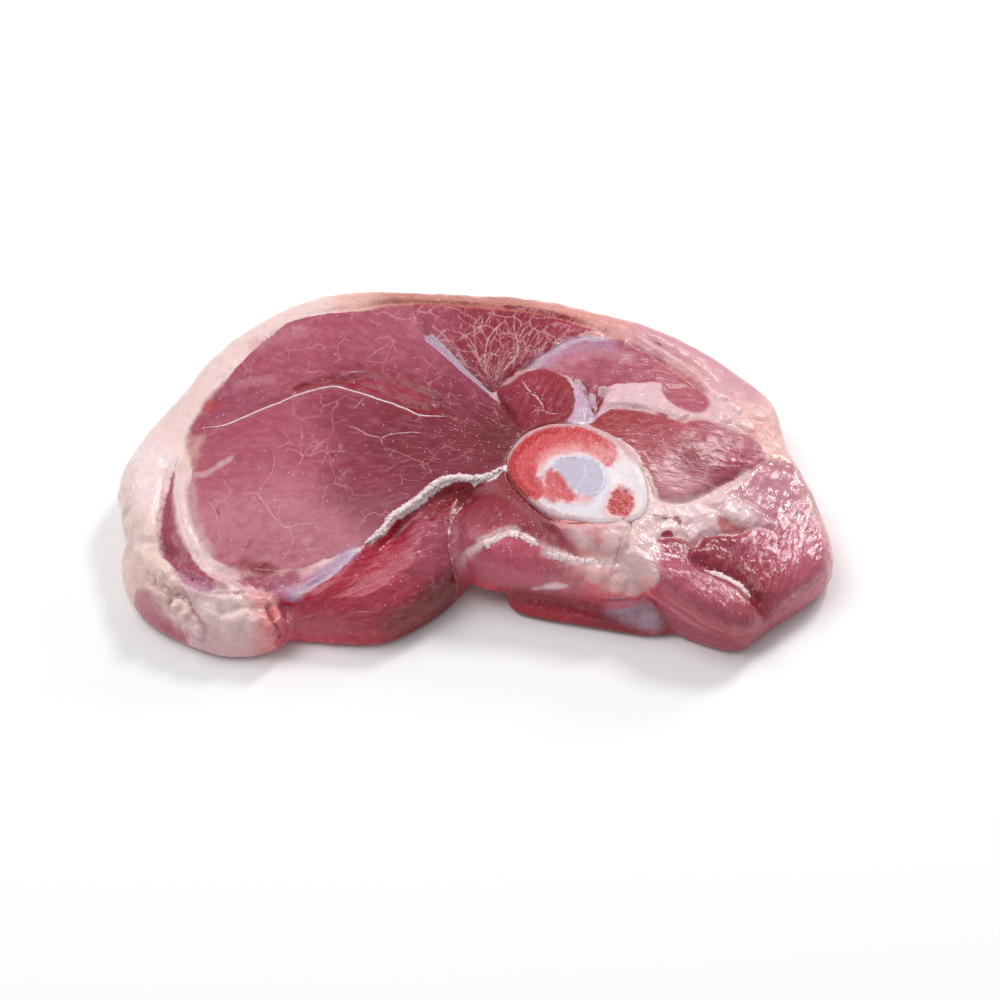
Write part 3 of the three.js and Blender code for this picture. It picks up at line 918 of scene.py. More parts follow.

# %% [markdown]
# ## Washes and fine lines
#
# Silvery skins, blood, bruised edges and some painted shade in creases lie over the muscles
# as thin washes of tone: a band along a path, or an outline with a soft edge. Threads of fat
# and slits of painted shade are much finer than the net of points. For those each point keeps
# its signed distance from the nearest line, its plain distance and the line's half width, and
# the material draws the line from them.

# %% Washes
# tone, strength, half width, route
BANDS = [
    # the small round muscle's skin, and the blue one beyond it
    ("plum", 0.6, 1.0, [(12, 17), (15, 11), (18, 5)]),
    ("ash", 0.7, 1.6, [(12, 27), (17, 33), (22, 37), (28, 40)]),
    ("mist", 0.8, 1.7, [(20, 36), (26, 41), (32, 46), (37, 50), (45, 52), (54, 50)]),
    ("lilac", 0.5, 3.4, [(24, 38), (31, 42), (38, 46), (46, 48), (56, 47)]),
    ("lilac_rose", 0.5, 3.0, [(34, 37), (42, 42), (52, 43), (62, 40)]),
    ("mist", 0.75, 1.5, [(37, 29), (41, 23), (43, 16), (43, 9), (39, 5), (32, 4)]),
    ("pearl", 0.7, 0.5, [(43, 17), (44, 11), (42, 6), (36, 4.5)]),
    # the sheet of sinew down the left, its branch, and the film that leaves it
    ("sinew", 0.85, 2.0, [(-105, -6), (-105.5, -20), (-103, -34), (-98, -45), (-92, -53), (-84, -59)]),
    ("ash", 0.55, 2.0, [(-102, -12), (-102, -24), (-99, -38), (-92, -49)]),
    ("shell", 0.5, 3.0, [(-101, 6), (-103, -4), (-105, -12)]),
    ("ash", 0.75, 1.3, [(-103, -13), (-98, -14), (-94, -12), (-90, -9), (-86, -7)]),
    ("ash", 0.75, 3.4, [(-94, -54), (-87, -58), (-80, -60)]),
    ("heather", 1.0, 2.6, [(-84, -57), (-76, -57), (-68, -57), (-60, -55.5)]),
    ("film_pink", 0.7, 2.6, [(-74, -59), (-66, -60), (-58, -58), (-50, -54), (-42, -48)]),
    ("blue_film", 0.6, 2.2, [(-68, -63.5), (-62, -61.5), (-56, -58), (-50, -54), (-43, -49), (-40, -46)]),
    ("mist", 0.5, 0.8, [(-66, -64), (-58, -61), (-50, -56), (-44, -51), (-40, -47)]),
    # strands and sinew on the shank
    ("sinew", 0.6, 1.2, [(63, -18), (68, -27), (74, -27), (80, -26), (87, -22)]),
    ("sinew", 0.75, 1.9, [(84, -25), (91, -21), (97, -16), (103, -10)]),
    ("ash", 0.6, 2.2, [(92, -25), (100, -23), (107, -26)]),
    ("sinew", 0.4, 1.0, [(100, -32), (106, -36), (112, -38)]),
    ("ash", 0.5, 1.8, [(66, -45), (67, -52), (65, -60)]),
    # bruised and bloody edges, and painted shade down one fold
    ("ember", 0.6, 1.3, [(60, 49), (69, 42), (77, 36), (84, 31), (88, 26)]),
    ("ember", 0.5, 1.8, [(-24, 70.5), (0, 70), (18, 67), (34, 63), (46, 58)]),
    ("ember", 0.7, 1.8, [(-99, 15), (-97, 20), (-94, 17)]),
    ("ember", 0.8, 1.3, [(-38, -47.5), (-36, -45)]),
    ("blood", 0.85, 1.5, [(-16, -36), (-12, -31), (-7, -26), (-3, -23)]),
    # the wine band down the fold between the hanging muscle and the one below it is painted shade in that
    # fold
    ("wine", 0.8, 2.6, [(0, -25, 24), (-5, -32, 20), (-8, -42, 16), (-4, -52, 8)]),
    ("blood", 0.6, 1.6, [(-97, -57), (-91, -62), (-86, -64)]),
    ("blood", 0.55, 2.0, [(-84, -50), (-78, -52), (-72, -52)]),
    ("claret", 0.45, 2.6, [(80, -51), (87, -51), (94, -54), (99, -60), (104, -65)]),
    ("claret", 0.6, 3.0, [(70, -48), (78, -45), (88, -43), (98, -42)]),
    ("orchid", 0.6, 2.6, [(72, -60), (80, -61), (88, -65), (96, -71)]),
    ("petal", 0.7, 0.8, [(78, -57.5), (86, -60), (93, -63.5), (99, -69)]),
    ("pearl", 0.95, 1.3, [(85, -55.5), (88, -55), (92, -56.5), (96, -59), (99, -62)]),
    # the rim of fat at the back right
    ("lilac_rose", 0.6, 3.0, [(62, 60), (76, 54), (90, 44), (102, 32), (108, 20)]),
    ("petal", 0.5, 0.8, RIM_SEAM),
    ("fat_rose", 0.5, 0.8, RIM_STREAK),
    ("ash", 0.7, 1.6, [(78, 10), (86, 11), (94, 8), (102, 6)]),
    # the front left corner, with painted shade in the creases between its lumps of fat
    ("coral", 0.8, 3.0, [(-70, -66), (-70, -72), (-74, -77)]),
    ("blood", 0.8, 0.9, [(-73, -66), (-71, -72), (-68, -77)]),
    ("pearl", 0.6, 3.0, [(-94, -66), (-87, -68), (-82, -72)]),
    # the old-rose lines between the lumps are painted shade in their creases
    ("old_rose", 0.7, 0.5, [(-109, -50), (-106, -55), (-104, -61), (-101, -65), (-98, -70), (-94, -75)]),
    ("old_rose", 0.6, 0.5, [(-115, -57), (-110, -57.5), (-106, -56)]),
    ("old_rose", 0.6, 0.5, [(-112, -63), (-107, -64), (-104, -63)]),
    ("dusk", 0.6, 0.6, [(-99, -65), (-92, -65.5), (-84, -65), (-80, -62)]),
    # the muscle under the bone: its crest of fat, granular flesh and lower lip
    ("sinew", 0.8, 1.5, [(-4, -49), (2, -48), (8, -45), (14, -42.5), (19, -44)]),
    ("ash", 0.5, 1.6, [(19, -44), (24, -47), (30, -50)]),
    ("claret", 0.5, 2.4, [(16, -40), (23, -43), (29, -47), (38, -50)]),
    # the plum band along the bone's lower left edge is painted shade in the gap beside the bone
    ("plum", 0.5, 1.6, [(16, -25), (20, -32), (26, -39), (32, -44)]),
    ("pearl", 0.85, 1.0, CORD_LINE),
    ("sinew", 0.8, 1.7, [(24, -50), (31, -51), (38, -54), (46, -54), (54, -56)]),
    ("peach", 0.6, 3.2, [(36, -57), (44, -58), (54, -60)]),
    ("petal", 0.5, 1.6, [(-7, -45), (-4, -49.5), (2, -53), (14, -56.5), (26, -58.5), (36, -60.5)]),
    # the shank's border and wall
    ("coral", 0.6, 1.0, [(68, -64, 22), (72, -67, 20), (78, -70, 18), (84, -73, 15), (90, -75, 13),
                         (97, -76, 12)]),
    ("petal", 0.6, 1.0, [(60, -61, 17), (68, -64, 16), (73, -68, 15), (79, -71, 13), (85, -74, 11)]),
    ("petal", 0.7, 2.4, [(114, -6), (119, -14), (124, -26), (129, -38), (129, -50), (122, -58)]),
    ("shell", 0.7, 1.6, [(119, -12), (125, -24), (131, -36), (130, -50), (120, -59), (108, -68)]),
    ("mist", 0.75, 2.6, [(49, -64, 10), (54, -64, 11), (60, -64, 11), (65, -66, 7), (68, -68, 4)]),
    # the hanging muscle
    ("pearl", 0.9, 1.2, [(-68, -76, 5), (-60, -73, 3.5), (-50, -74, 3), (-40, -74, 3)]),
    ("salmon", 0.6, 3.0, [(-66, -72, 10), (-58, -70, 10), (-46, -72, 9)]),
    ("orchid", 0.5, 2.4, [(-18, -36), (-19, -44), (-21, -53)]),
    # the broad muscle's torn floor, darkened as painted shade in the tear, and the painted shadow under its
    # thread
    ("claret", 0.6, 3.5, [(-58, 31), (-48, 34), (-36, 34), (-24, 29), (-12, 22)]),
    ("plum", 0.6, 3.0, [(-38, 20), (-26, 12), (-14, 8)]),
    ("plum", 0.5, 5.0, [(-16, 24), (-4, 18), (6, 8)]),
    ("lilac_rose", 0.35, 3.5, [(-84, 45), (-74, 52), (-60, 56)]),
    ("lilac_rose", 0.35, 2.5, [(-90, 27), (-84, 29), (-78, 30), (-72, 30)]),
]
# tone, strength, softness of the edge, outline
POOLS = [
    # blood red in the tear: partly blood, partly painted shade in its hollow
    ("blood", 0.95, 1.6, [(-66, 25), (-62, 29), (-56, 29), (-49, 31), (-42, 30), (-34, 28), (-24, 24),
                         (-16, 19), (-12, 14), (-20, 15), (-28, 20), (-39, 25), (-51, 29), (-59, 28)]),
    ("crimson", 0.5, 1.5, [(-44, 27), (-40, 31), (-32, 31), (-24, 26), (-18, 22), (-22, 18), (-30, 22)]),
    ("fat_rose", 0.7, 1.5, [(33, -44), (44, -43), (54, -42), (56, -47), (54, -51), (46, -51), (38, -49)]),
    ("coral", 0.5, 1.8, [(40, -46), (46, -45), (49, -49), (43, -50)]),
    ("fat_rose", 0.5, 4.0, [(34, -54), (44, -54), (56, -56), (64, -56), (60, -60), (44, -60)]),
    ("film_rose", 0.9, 1.0, [(-107, -57), (-102, -61), (-94, -65), (-91, -63), (-97, -58), (-104, -55)]),
    ("sinew", 0.8, 2.0, CORNER_LOBE),
    ("cream", 0.9, 1.2, [(-114, -50), (-109, -50), (-105, -58), (-102, -65), (-100, -70), (-105, -70),
                         (-112, -61)]),
    ("ember", 0.75, 1.0, [(90, -32), (95, -34), (101, -35), (97, -37), (91, -38), (89, -35)]),
    ("fat_rose", 0.8, 1.4, SINEW_LOBE),
    ("old_rose", 0.85, 1.0, [(71, 24), (74, 28), (81, 29), (86, 26), (87, 19), (84, 15), (80, 15), (75, 17),
                             (72, 20)]),
    ("blood", 0.8, 0.8, [(-79, -53), (-74, -50), (-69, -53), (-73, -55)]),
    ("claret", 0.6, 3.0, [(76, -2), (84, -4), (90, -8), (90, -15), (82, -15), (74, -10)]),
]
# the same on the front wall, where outlines are (x, z)
WALL_POOLS = [
    ("claret", 0.9, 1.5, [(8, -4), (10, 12), (30, 12.5), (46, 13), (60, 13), (70, 10), (72, -4)]),
    ("raspberry", 0.6, 2.0, [(14, 5), (22, 8), (36, 8), (46, 7), (40, 4), (22, 3)]),
    ("rose", 0.7, 2.0, [(4, 19), (20, 17), (34, 21), (44, 18), (58, 16), (66, 13), (60, 11), (44, 12.5),
                        (20, 12.5), (4, 14)]),
    ("peach", 0.5, 2.0, [(40, 22), (50, 22), (60, 21), (66, 17), (62, 15), (54, 16), (46, 17)]),
    ("pearl", 0.9, 0.8, [(22, 14), (26, 17), (30, 19), (35, 18.5), (30, 16)]),
    ("wine", 0.55, 5.0, [(-32, 14), (-22, 12), (-10, 18), (-2, 12), (-4, 0), (-26, 0)]),
    ("mist", 0.6, 3.0, [(48, 9), (50, 14), (56, 15), (63, 13), (68, 8), (66, 3), (60, 5), (54, 7)]),
]


def wash(colours, tone, strength):
    """Blend a tone over the colours by a strength for each point."""
    return colours + strength[:, None] * (light_of(tone) - colours)


ragged = rough(spots, 3.0, 3)
washes = []
for tone_name, strength, half_width, points in BANDS:
    far, _, share = meat.along(points, 3 * half_width)
    cover = strength * soft_step(far + 0.45 * half_width * ragged, half_width * 1.5, half_width * 0.4)
    in_plan = len(points[0]) == 2
    washes.append((tone_name, cover * (fade_ends(share, 3) * (meat.up if in_plan else 1))))
for tone_name, strength, edge, outline in POOLS:
    cover = strength * soft_step(meat.depth_in(outline) + 0.6 * ragged, -edge, edge) * meat.up
    washes.append((tone_name, cover))
for tone_name, strength, edge, outline in WALL_POOLS:
    cover = strength * soft_step(depth_in_wall(outline) + 0.6 * ragged, -edge, edge) * faces_front
    washes.append((tone_name, cover))
for tone_name, cover in washes:
    lean_tone = wash(lean_tone, tone_name, cover)
    fat_tone = wash(fat_tone, tone_name, cover)
fat_tone = wash(fat_tone, "ivory", 0.5 * lump_share)

# a wall sees less of the lamps and more of the light that the meat itself throws back, so its
# tones lose green and blue and gain red; the two ends and the lower lip do so less
WALL_LEAN_LOSS = (-0.32, 0.54, 0.40)  # shares of red, green and blue
WALL_FAT_LOSS = (-0.12, 0.20, 0.14)
end_share = np.maximum(soft_step(spots[:, 0], 60, 72), soft_step(spots[:, 0], -68, -80))
lower_lip = soft_step(np.abs(spots[:, 0] - 18), 28, 16) * soft_step(spots[:, 2], 11, 15)
wall_share = ((1 - meat.up) * (1 - 0.6 * end_share) * (1 - 0.75 * lower_lip))[:, None]
lean_tone = lean_tone * (1 - wall_share * WALL_LEAN_LOSS)
fat_tone = fat_tone * (1 - wall_share * faces_front[:, None] * WALL_FAT_LOSS)

# the rim's outer wall behind is one even skin of fat
faces_back = soft_step(meat.out[:, 1], 0.1, 0.6) * soft_step(1 - meat.up, 0.3, 0.8)
fat_tone = wash(fat_tone, "sinew", 0.75 * faces_back)
print(len(BANDS), "bands and", len(POOLS) + len(WALL_POOLS), "pools of tone")

# %% Threads, and slits of painted shade
# pale threads of fat: half width, route
THREADS = [
    (0.38, THREAD_LINE),
    (0.2, [(-85, -24), (-81, -24), (-78, -24), (-75, -28), (-71, -34), (-67, -38), (-62, -37), (-56, -37)]),
    (0.17, [(-67, -38), (-64, -42), (-65, -46), (-68, -50)]),
    (0.15, [(-75, -28), (-70, -27), (-66, -27)]),
    (0.17, [(-55, -13), (-52, -6), (-44, -6)]),
    (0.15, [(-63, -13), (-62, -7), (-67, -4)]),
    (0.17, [(-78, -24), (-73, -16), (-72, -10), (-73, -4)]),
    (0.15, [(-96, -26), (-93, -30), (-91, -38), (-91, -44)]),
    (0.25, [(-47, 7), (-42, 5), (-38, 2), (-33, 1), (-30, 2), (-25, 3), (-21, 3), (-15, 2)]),
    (0.22, [(-33, 1), (-33, -2), (-31, -6)]),
    (0.15, [(-33, -3), (-28, -6), (-21, -10), (-16, -13), (-14, -19)]),
    (0.14, [(-31, -16), (-27, -12), (-22, -10)]),
    (0.19, [(-40, 21), (-42, 17), (-44, 15)]),
    (0.19, [(-39, 67), (-37, 64), (-33, 65), (-29, 62), (-25, 62), (-21, 63)]),
    (0.22, [(-49, 32), (-45, 34), (-40, 34)]),
    (0.22, [(4, 64), (3, 58), (-2, 53), (-7, 49)]),
    (0.25, [(13, 61), (9, 57), (6, 51), (5, 45), (5, 36), (8, 29)]),
    (0.25, [(22, 60), (19, 55), (17, 47), (17, 42), (14, 38), (10, 31)]),
    (0.22, [(-8, 56), (-2, 52), (1, 46), (3, 38), (7, 30)]),
    (0.19, [(-6, 65), (-3, 60), (0, 58), (4, 57)]),
    (0.19, [(-10, 51), (-7, 47), (-4, 45), (1, 44)]),
    (0.19, [(16, 65), (16, 53), (18, 46)]),
    (0.19, [(9, 57), (13, 53), (18, 50)]),
    (0.19, [(5, 44), (10, 42), (16, 44)]),
    (0.31, [(18, 29), (21, 23), (24, 19), (27, 12)]),
    (0.43, [(22, 21), (24, 19), (25, 16)]),
    (0.22, [(21, 10), (25, 12), (29, 10), (33, 10)]),
    (0.22, [(65, -13), (70, -18), (78, -18), (85, -19), (90, -19), (95, -16)]),
    (0.19, [(78, -2), (76, -6), (81, -13), (87, -16)]),
    (0.15, [(70, -3), (76, -7), (82, -13)]),
    (0.15, [(52, 0), (62, 1), (70, 0)]),
    (0.19, [(81, -54), (85, -55), (89, -55.5), (93, -57)]),
    (0.15, [(-48, -70, 13), (-42, -69, 16), (-34, -69, 16), (-26, -68, 14)]),
    (0.19, [(-62, -69, 11), (-56, -68, 13), (-50, -67, 14), (-44, -67, 16)]),
    (0.15, [(-30, -44, 26), (-28, -50, 25), (-32, -52, 24)]),
    (0.15, [(8, -32), (10, -35), (11, -38)]),
    (0.15, [(22, -62, 10), (32, -62, 11), (40, -63, 10)]),
    (0.22, RIM_SEAM),
    (0.19, RIM_STREAK),
    (0.19, [(-80, -52), (-74, -53), (-68, -53.5), (-61, -53), (-54, -51), (-46, -49)]),
]
# dark slits where fibres part and seams open, painted shade in these narrow gaps in the red of blood: half
# width, route
SHADE_SLITS = [
    (0.6, [(-66, 27), (-62, 28.5), (-56, 28.5), (-51, 30), (-46, 31)]),
    (0.3, [(-43, 34), (-35, 33), (-30, 30), (-24, 28), (-14, 23), (-5, 18), (2, 15)]),
    (0.25, [(-19, 35), (-12, 34), (-7, 28), (-1, 20)]),
    (0.2, [(-33, 49), (-26, 46), (-23, 42)]),
    (0.2, [(-22, 38), (-17, 34), (-11, 31)]),
    (0.3, [(-25, 16), (-20, 12), (-14, 12), (-9, 11), (-3, 6)]),
    (0.22, [(-24, 1), (-20, -7), (-17, -12)]),
    (0.22, [(-28, 0), (-23, -5), (-19, -11)]),
    (0.25, [(0, 10), (6, 6), (12, 2)]),
    (0.2, [(-12, 34), (-8, 30), (-4, 24), (2, 18)]),
    (0.5, [(12, 17), (14, 13), (17, 7), (18, 3)]),
    (0.7, [(13, -16), (15, -23), (20, -30), (27, -38), (32, -41)]),
    (0.4, [(33, -42), (42, -42), (52, -41.5), (58, -37)]),
    (0.5, [(58, -37), (57.5, -40), (57.5, -44)]),
    (0.5, [(98, -62), (102, -66), (106, -69)]),
    (0.6, [(86, -57, 22), (90, -58.5, 21), (95, -61, 19)]),
    (1.3, [(73.5, -34), (75.5, -37)]),
    (0.5, [(-16, -36), (-13, -32), (-9, -28), (-5, -25)]),
    (0.5, [(-73, -66, 15), (-71, -72, 14), (-68, -77, 9)]),
    (0.4, [(64, 46), (70, 41), (77, 35)]),
    (0.8, [(-123, -27, 21), (-119.5, -25, 22.5)]),
    (0.4, [(-123, -33, 18), (-119, -27, 22)]),
    (0.35, [(-86, -57), (-82, -58.5)]),
    (0.6, [(-92, -30), (-91, -33)]),
]
LINE_REACH = 9.0  # a point measures its distance from a line up to this many mm


def nearest_lines(skin, lines):
    """Signed distance from the nearest line, plain distance, and half width, for each point."""
    signed = np.full(len(skin.at), LINE_REACH)
    plain = np.full(len(skin.at), LINE_REACH)
    width = np.zeros(len(skin.at))
    for half_width, points in lines:
        far, side, share = skin.along(points, LINE_REACH)
        closer = far < plain
        if len(points[0]) == 2:
            closer &= skin.up > 0.02
        plain[closer] = far[closer]
        signed[closer] = (side * far)[closer]
        width[closer] = (half_width * fade_ends(share, 2.5))[closer]
    return np.column_stack([signed, plain, width])


# the striped skin: signed distance, distance along it in mm, half width; 0 elsewhere
LADDER_HALF_WIDTH = 1.9
LADDER_NARROWING = 0.75  # share of its width that it loses along its way
ladder_far, ladder_side, ladder_share = meat.along(LADDER_LINE, 6)
ladder_length = np.linalg.norm(np.diff(smooth_path(LADDER_LINE), axis=0), axis=1).sum()
ladder_width = LADDER_HALF_WIDTH * (1 - LADDER_NARROWING * ladder_share)
ladder_width = ladder_width * fade_ends(ladder_share, 8) * (ladder_far < 5) * meat.up
ladder = np.column_stack([ladder_side * ladder_far, ladder_share * ladder_length, ladder_width])
threads = nearest_lines(meat, THREADS)
shade_slits = nearest_lines(meat, SHADE_SLITS)
print(len(THREADS), "threads and", len(SHADE_SLITS), "shade_slits")

# %% [markdown]
# ## Fine relief
#
# A cut face is never flat. Lean swells and sinks a little, and its fibres stand up in soft
# cords. Fat is lumpier. This relief is real geometry down to a couple of millimetres, and the
# material's bump takes over below that. Wetness, softness of the lean's edge and the density
# of pale dots, which are painted glints of moisture and grains of fat, gather in places, so
# each is a list of round clouds with a soft end.

# %% Wet, soft and speckled places
# where painted glints of moisture and pale grains of fat gather: middle, reach, strength
GLINT_AND_FAT_CLOUDS = [
    ((-12, 20), 5, 1.0), ((-6, 3), 7, 1.2), ((6, -13), 4, 1.2), ((0, -2), 12, 0.5), ((-15, 27), 4, 0.6),
    ((-84, 30), 8, 0.6), ((-68, 30), 6, 0.5), ((5, 36), 6, 0.8), ((38, 49), 5, 1.0), ((26, 8), 6, 0.5),
    ((84, 26), 5, 1.2), ((70, -3), 6, 0.9), ((74, -52), 7, 1.6), ((84, -62), 8, 1.8),
    ((93, -70), 5, 1.4), ((-100, -63), 5, 1.4), ((-75, -63), 5, 0.7), ((16, -42), 6, 1.4),
    ((28, -48), 7, 1.2), ((36, -53), 5, 1.0), ((10, -46), 6, 1.0), ((-12, -28), 5, 1.4),
    ((-28, -60), 6, 1.0), ((62, -56), 6, 0.6), ((-40, 75), 12, 0.4), ((-60, 68), 8, 0.6),
    ((-114, -16), 6, 0.5), ((8, 40), 14, 0.25), ((-50, -20), 40, 0.12), ((90, 0), 22, 0.3),
    ((60, 36), 18, 0.15), ((110, -48), 14, 0.35), ((20, 20), 10, 0.2),
]
# where the cut is wettest: middle, reach, strength
WET_PLACES = [
    ((106, -30), 12, 0.9), ((118, -40), 13, 0.9), ((112, -56), 12, 0.9), ((96, -9), 10, 1.0),
    ((86, -67), 10, 1.0), ((96, -73), 6, 0.8), ((78, -52), 8, 0.7), ((31, 48), 7, 0.9), ((40, 50), 5, 0.9),
    ((22, 47), 5, 0.6), ((-113, -22), 9, 0.6), ((-15, -44), 6, 0.6), ((-98, -62), 6, 0.8),
    ((-76, -64), 5, 0.6), ((48, -47), 8, 0.7), ((28, -48), 8, 0.6), ((88, 22), 6, 0.7), ((-60, 70), 8, 0.4),
    ((72, -36), 9, 0.4), ((100, -28), 8, 0.6), ((70, 4), 9, 0.4), ((-84, -68), 7, 0.6),
    ((60, 21), 9, 0.8), ((94, 18), 9, 0.8), ((4, 34), 9, 0.6), ((10, 60), 12, 0.55), ((-12, -30), 6, 0.9),
    ((10, -34), 10, 0.6), ((54, -56), 8, 0.7), ((30, -61), 16, 0.8), ((-110, -58), 6, 0.7),
    ((-122, -18), 9, 0.8), ((-124, -46), 8, 0.6), ((-104, 18), 9, 0.5),
]
# where lean runs softly into fat: middle, reach, half width of the change in mm
SOFT_PLACES = [
    ((80, 22), 9, 2.2), ((98, -24), 12, 1.6), ((38, -52), 12, 1.8), ((66, -50), 7, 1.4),
    ((-80, -60), 12, 1.4), ((97, 8), 8, 2.2), ((-104, 2), 9, 1.8), ((62, -36), 6, 1.5),
    ((88, -34), 9, 1.6), ((-98, 24), 10, 1.6), ((66, 46), 14, 1.6), ((-20, 70), 30, 0.8),
    ((-110, -60), 9, 1.2), ((60, 14), 9, 0.8), ((52, -60), 14, 2.2), ((70, 26), 8, 1.2),
    ((80, 20), 9, 2.6), ((-112, -66), 9, 1.8), ((-110, -35), 14, 1.6), ((122, -8), 12, 2.6),
    ((-70, -62), 10, 1.4),
]
print(len(WET_PLACES), "wet,", len(SOFT_PLACES), "soft and", len(GLINT_AND_FAT_CLOUDS), "speckled places")

# %% Relief
BONE_OUTLINE = [
    (13, -15), (17, -5), (24, 2), (34, 4), (44, 1), (54, -6), (61, -15), (64, -26), (65, -35), (57, -40),
    (43, -41), (33, -40), (24, -33), (16, -22),
]
BONE_LIP = 0.9  # mm that the meat stands up where it grips the bone


def cloud(middle, reach, most):
    """A number for each point of the meat: most at the middle in plan, fading beyond the reach."""
    distance = np.linalg.norm(meat.at[:, :2] - middle, axis=1)
    return most * np.exp(-((distance / reach) ** 2))


# the lip of meat round the bone, which fades out at the bone's front left
spots = meat.at
to_bone = -meat.depth_in(BONE_OUTLINE)
near_bone = soft_step(to_bone, 6, 0) * (to_bone > -3) * meat.up
meat.push(BONE_LIP * near_bone * soft_step(spots[:, 0] + 0.8 * spots[:, 1], -14, -2))
for place_and_size in WET_PLACES:
    wet = np.maximum(wet, cloud(*place_and_size) * (spots[:, 2] > 6))
softness = np.zeros(len(spots))
for place_and_size in SOFT_PLACES:
    softness = np.maximum(softness, cloud(*place_and_size))
in_lean = soft_step(lean_depth, -0.6, 0.8)
in_fat = 1 - in_lean

# heights in mm; each noise below runs from about -1 to 1
above_table = soft_step(spots[:, 2], 0.5, 4)
swell = rough(spots, 16, 2)
cords = rough(fibres * (0.16, 0.8, 0.5), 1.0, 2, seed=7.0)
lumps = rough(spots, 7, 3, seed=3.0)
grain = rough(spots, 2.6, 2, seed=5.0)
strokes = rough(fibres * (0.13, 0.42, 0.42), 1.0, 2, seed=11.0)
meat.push(above_table * in_lean * (0.28 * swell + (0.07 + 0.12 * wet) * cords + 0.05 * grain))
meat.push(above_table * (0.34 * wet**2) * strokes * grain_share)
torn = soft_step(meat.depth_in(TEAR), -4, 1) * meat.up
meat.push(torn * (0.3 * strokes + 0.12 * grain))
marbling *= 1 - torn  # torn meat shows fibres, not marbling
meat.push(above_table * in_fat * (0.30 * swell + 0.38 * lumps + 0.10 * grain))
meat.at[:, 2] = np.maximum(meat.at[:, 2], 0)
meat.refresh()

glint_and_fat_specks = np.zeros(len(spots))
for place_and_size in GLINT_AND_FAT_CLOUDS:
    glint_and_fat_specks += cloud(*place_and_size)
glint_and_fat_specks *= meat.up * (spots[:, 2] > 8)

meat.store_colour("lean_tone", lean_tone)
meat.store_colour("fat_tone", fat_tone)
for name, values in {
    "lean_depth": lean_depth, "fibres": fibres, "marbling": marbling * in_lean, "wet": wet,
    "grain": grain_share, "softness": softness, "threads": threads, "shade_slits": shade_slits,
    "ladder": ladder, "glint_and_fat_specks": glint_and_fat_specks,
}.items():
    meat.store(name, values)
print("relief from", round(float(meat.at[:, 2].max()), 1), "mm down to the table")

# %% [markdown]
# ## The sawn bone
#
# The saw cut straight through the bone. A hard white ring runs round it, wide on the right.
# Inside lies coral marrow, darkest against the ring, which curls round a smooth lilac disc of
# harder bone. A second, small spot of spongy marrow sits at the lower right. Rings and disc
# could be meshes of their own, but the saw left them flush, so they are tones on one skin,
# and only the spongy parts are sunk a little.

# %% Outlines and tones of the bone
BONE_VOXEL = 0.5
BONE_GROWTH = 0.5  # how far the bone's wall reaches into the meat, so that no gap shows
MARROW = [
    (52, -13), (53, -8), (51, -4), (46, 0.3), (39, 3.2), (33, 3.7), (27, 2.6), (20.2, -1.1), (15.6, -6.6),
    (12.8, -12.5), (12.5, -17.5), (14.4, -23), (18.2, -28.2), (23, -32), (26, -28), (24, -24),
    (23.5, -20), (25, -15.5), (29, -11.5), (34, -10), (39, -9.5), (44, -11.5), (50, -17),
]
CURL = [
    (27, -19), (29, -17), (31, -19), (33.5, -22), (35, -26), (38, -30), (36, -32.5), (31, -31.5),
    (27, -28), (26, -24),
]
DISC = [
    (30, -15), (35, -12.5), (40, -12.5), (45, -14.5), (48, -19), (48, -25), (45, -30), (41, -30), (37, -27),
    (33, -21),
]
RED_SPOT = [
    (52, -27), (55, -26), (57.5, -27), (58.5, -30.5), (58, -35), (55.5, -38.5), (51, -38), (49, -35),
    (50.5, -30),
]
# tone, strength, softness, outline
BONE_POOLS = [
    ("bone_blue", 0.8, 3.0, [(22, -28), (34, -36), (46, -37), (50, -34), (50, -26), (48, -16),
                             (42, -10), (30, -14), (24, -22)]),
    ("marrow_pale", 0.8, 1.6, [(27, -30), (36, -34), (44, -33), (43, -30), (37, -29), (30, -27)]),
    ("marrow", 1.0, 0.9, MARROW),
    ("marrow_pale", 0.55, 2.5, [(45, -5), (52, -6), (54, -13), (48, -15), (42, -9)]),
    ("marrow_pale", 0.65, 2.2, [(24, -12), (30, -7), (40, -5), (40, -10), (28, -13), (25, -18)]),
    ("marrow", 0.9, 1.4, CURL),
    ("marrow", 0.75, 1.2, [(22, -25), (25, -31), (31, -33), (29, -27), (25, -21)]),
    ("disc", 0.95, 0.7, DISC),
    ("marrow_pale", 0.8, 1.8, [(47, -38), (52, -40), (58, -39), (60, -33), (58, -27), (52, -25), (49, -30)]),
    ("clot", 1.0, 0.8, RED_SPOT),
]
# tone, strength, half width, route
BONE_BANDS = [
    ("bone_rose", 0.9, 1.5, [(60, -16), (54, -5), (46, 2), (36, 4.5), (26, 3.5), (18, -2), (13, -11),
                             (12.5, -18), (17, -26), (24, -34), (34, -40), (44, -41)]),
    ("marrow_red", 1.0, 1.6, [(24, -30), (18.5, -26), (15.2, -20), (15, -13), (19, -6), (26, 0), (34, 1.8)]),
    ("marrow_red", 0.6, 1.2, [(34, 1.2), (42, 0), (47, -4), (50, -8)]),
    ("marrow_red", 0.5, 1.4, [(30, -19), (32, -22), (34, -27)]),
    ("marrow_red", 0.5, 1.6, [(21, -17), (22, -22), (25, -26)]),
    ("marrow_pale", 0.6, 1.3, [(24, -21), (26, -15), (31, -10), (40, -9), (48, -14)]),
    ("bone_skin", 0.8, 1.6, [(64, -22), (66, -30), (66, -38), (61, -42)]),
    ("straw", 0.5, 0.8, [(62, -33), (63, -37), (61, -40)]),
]
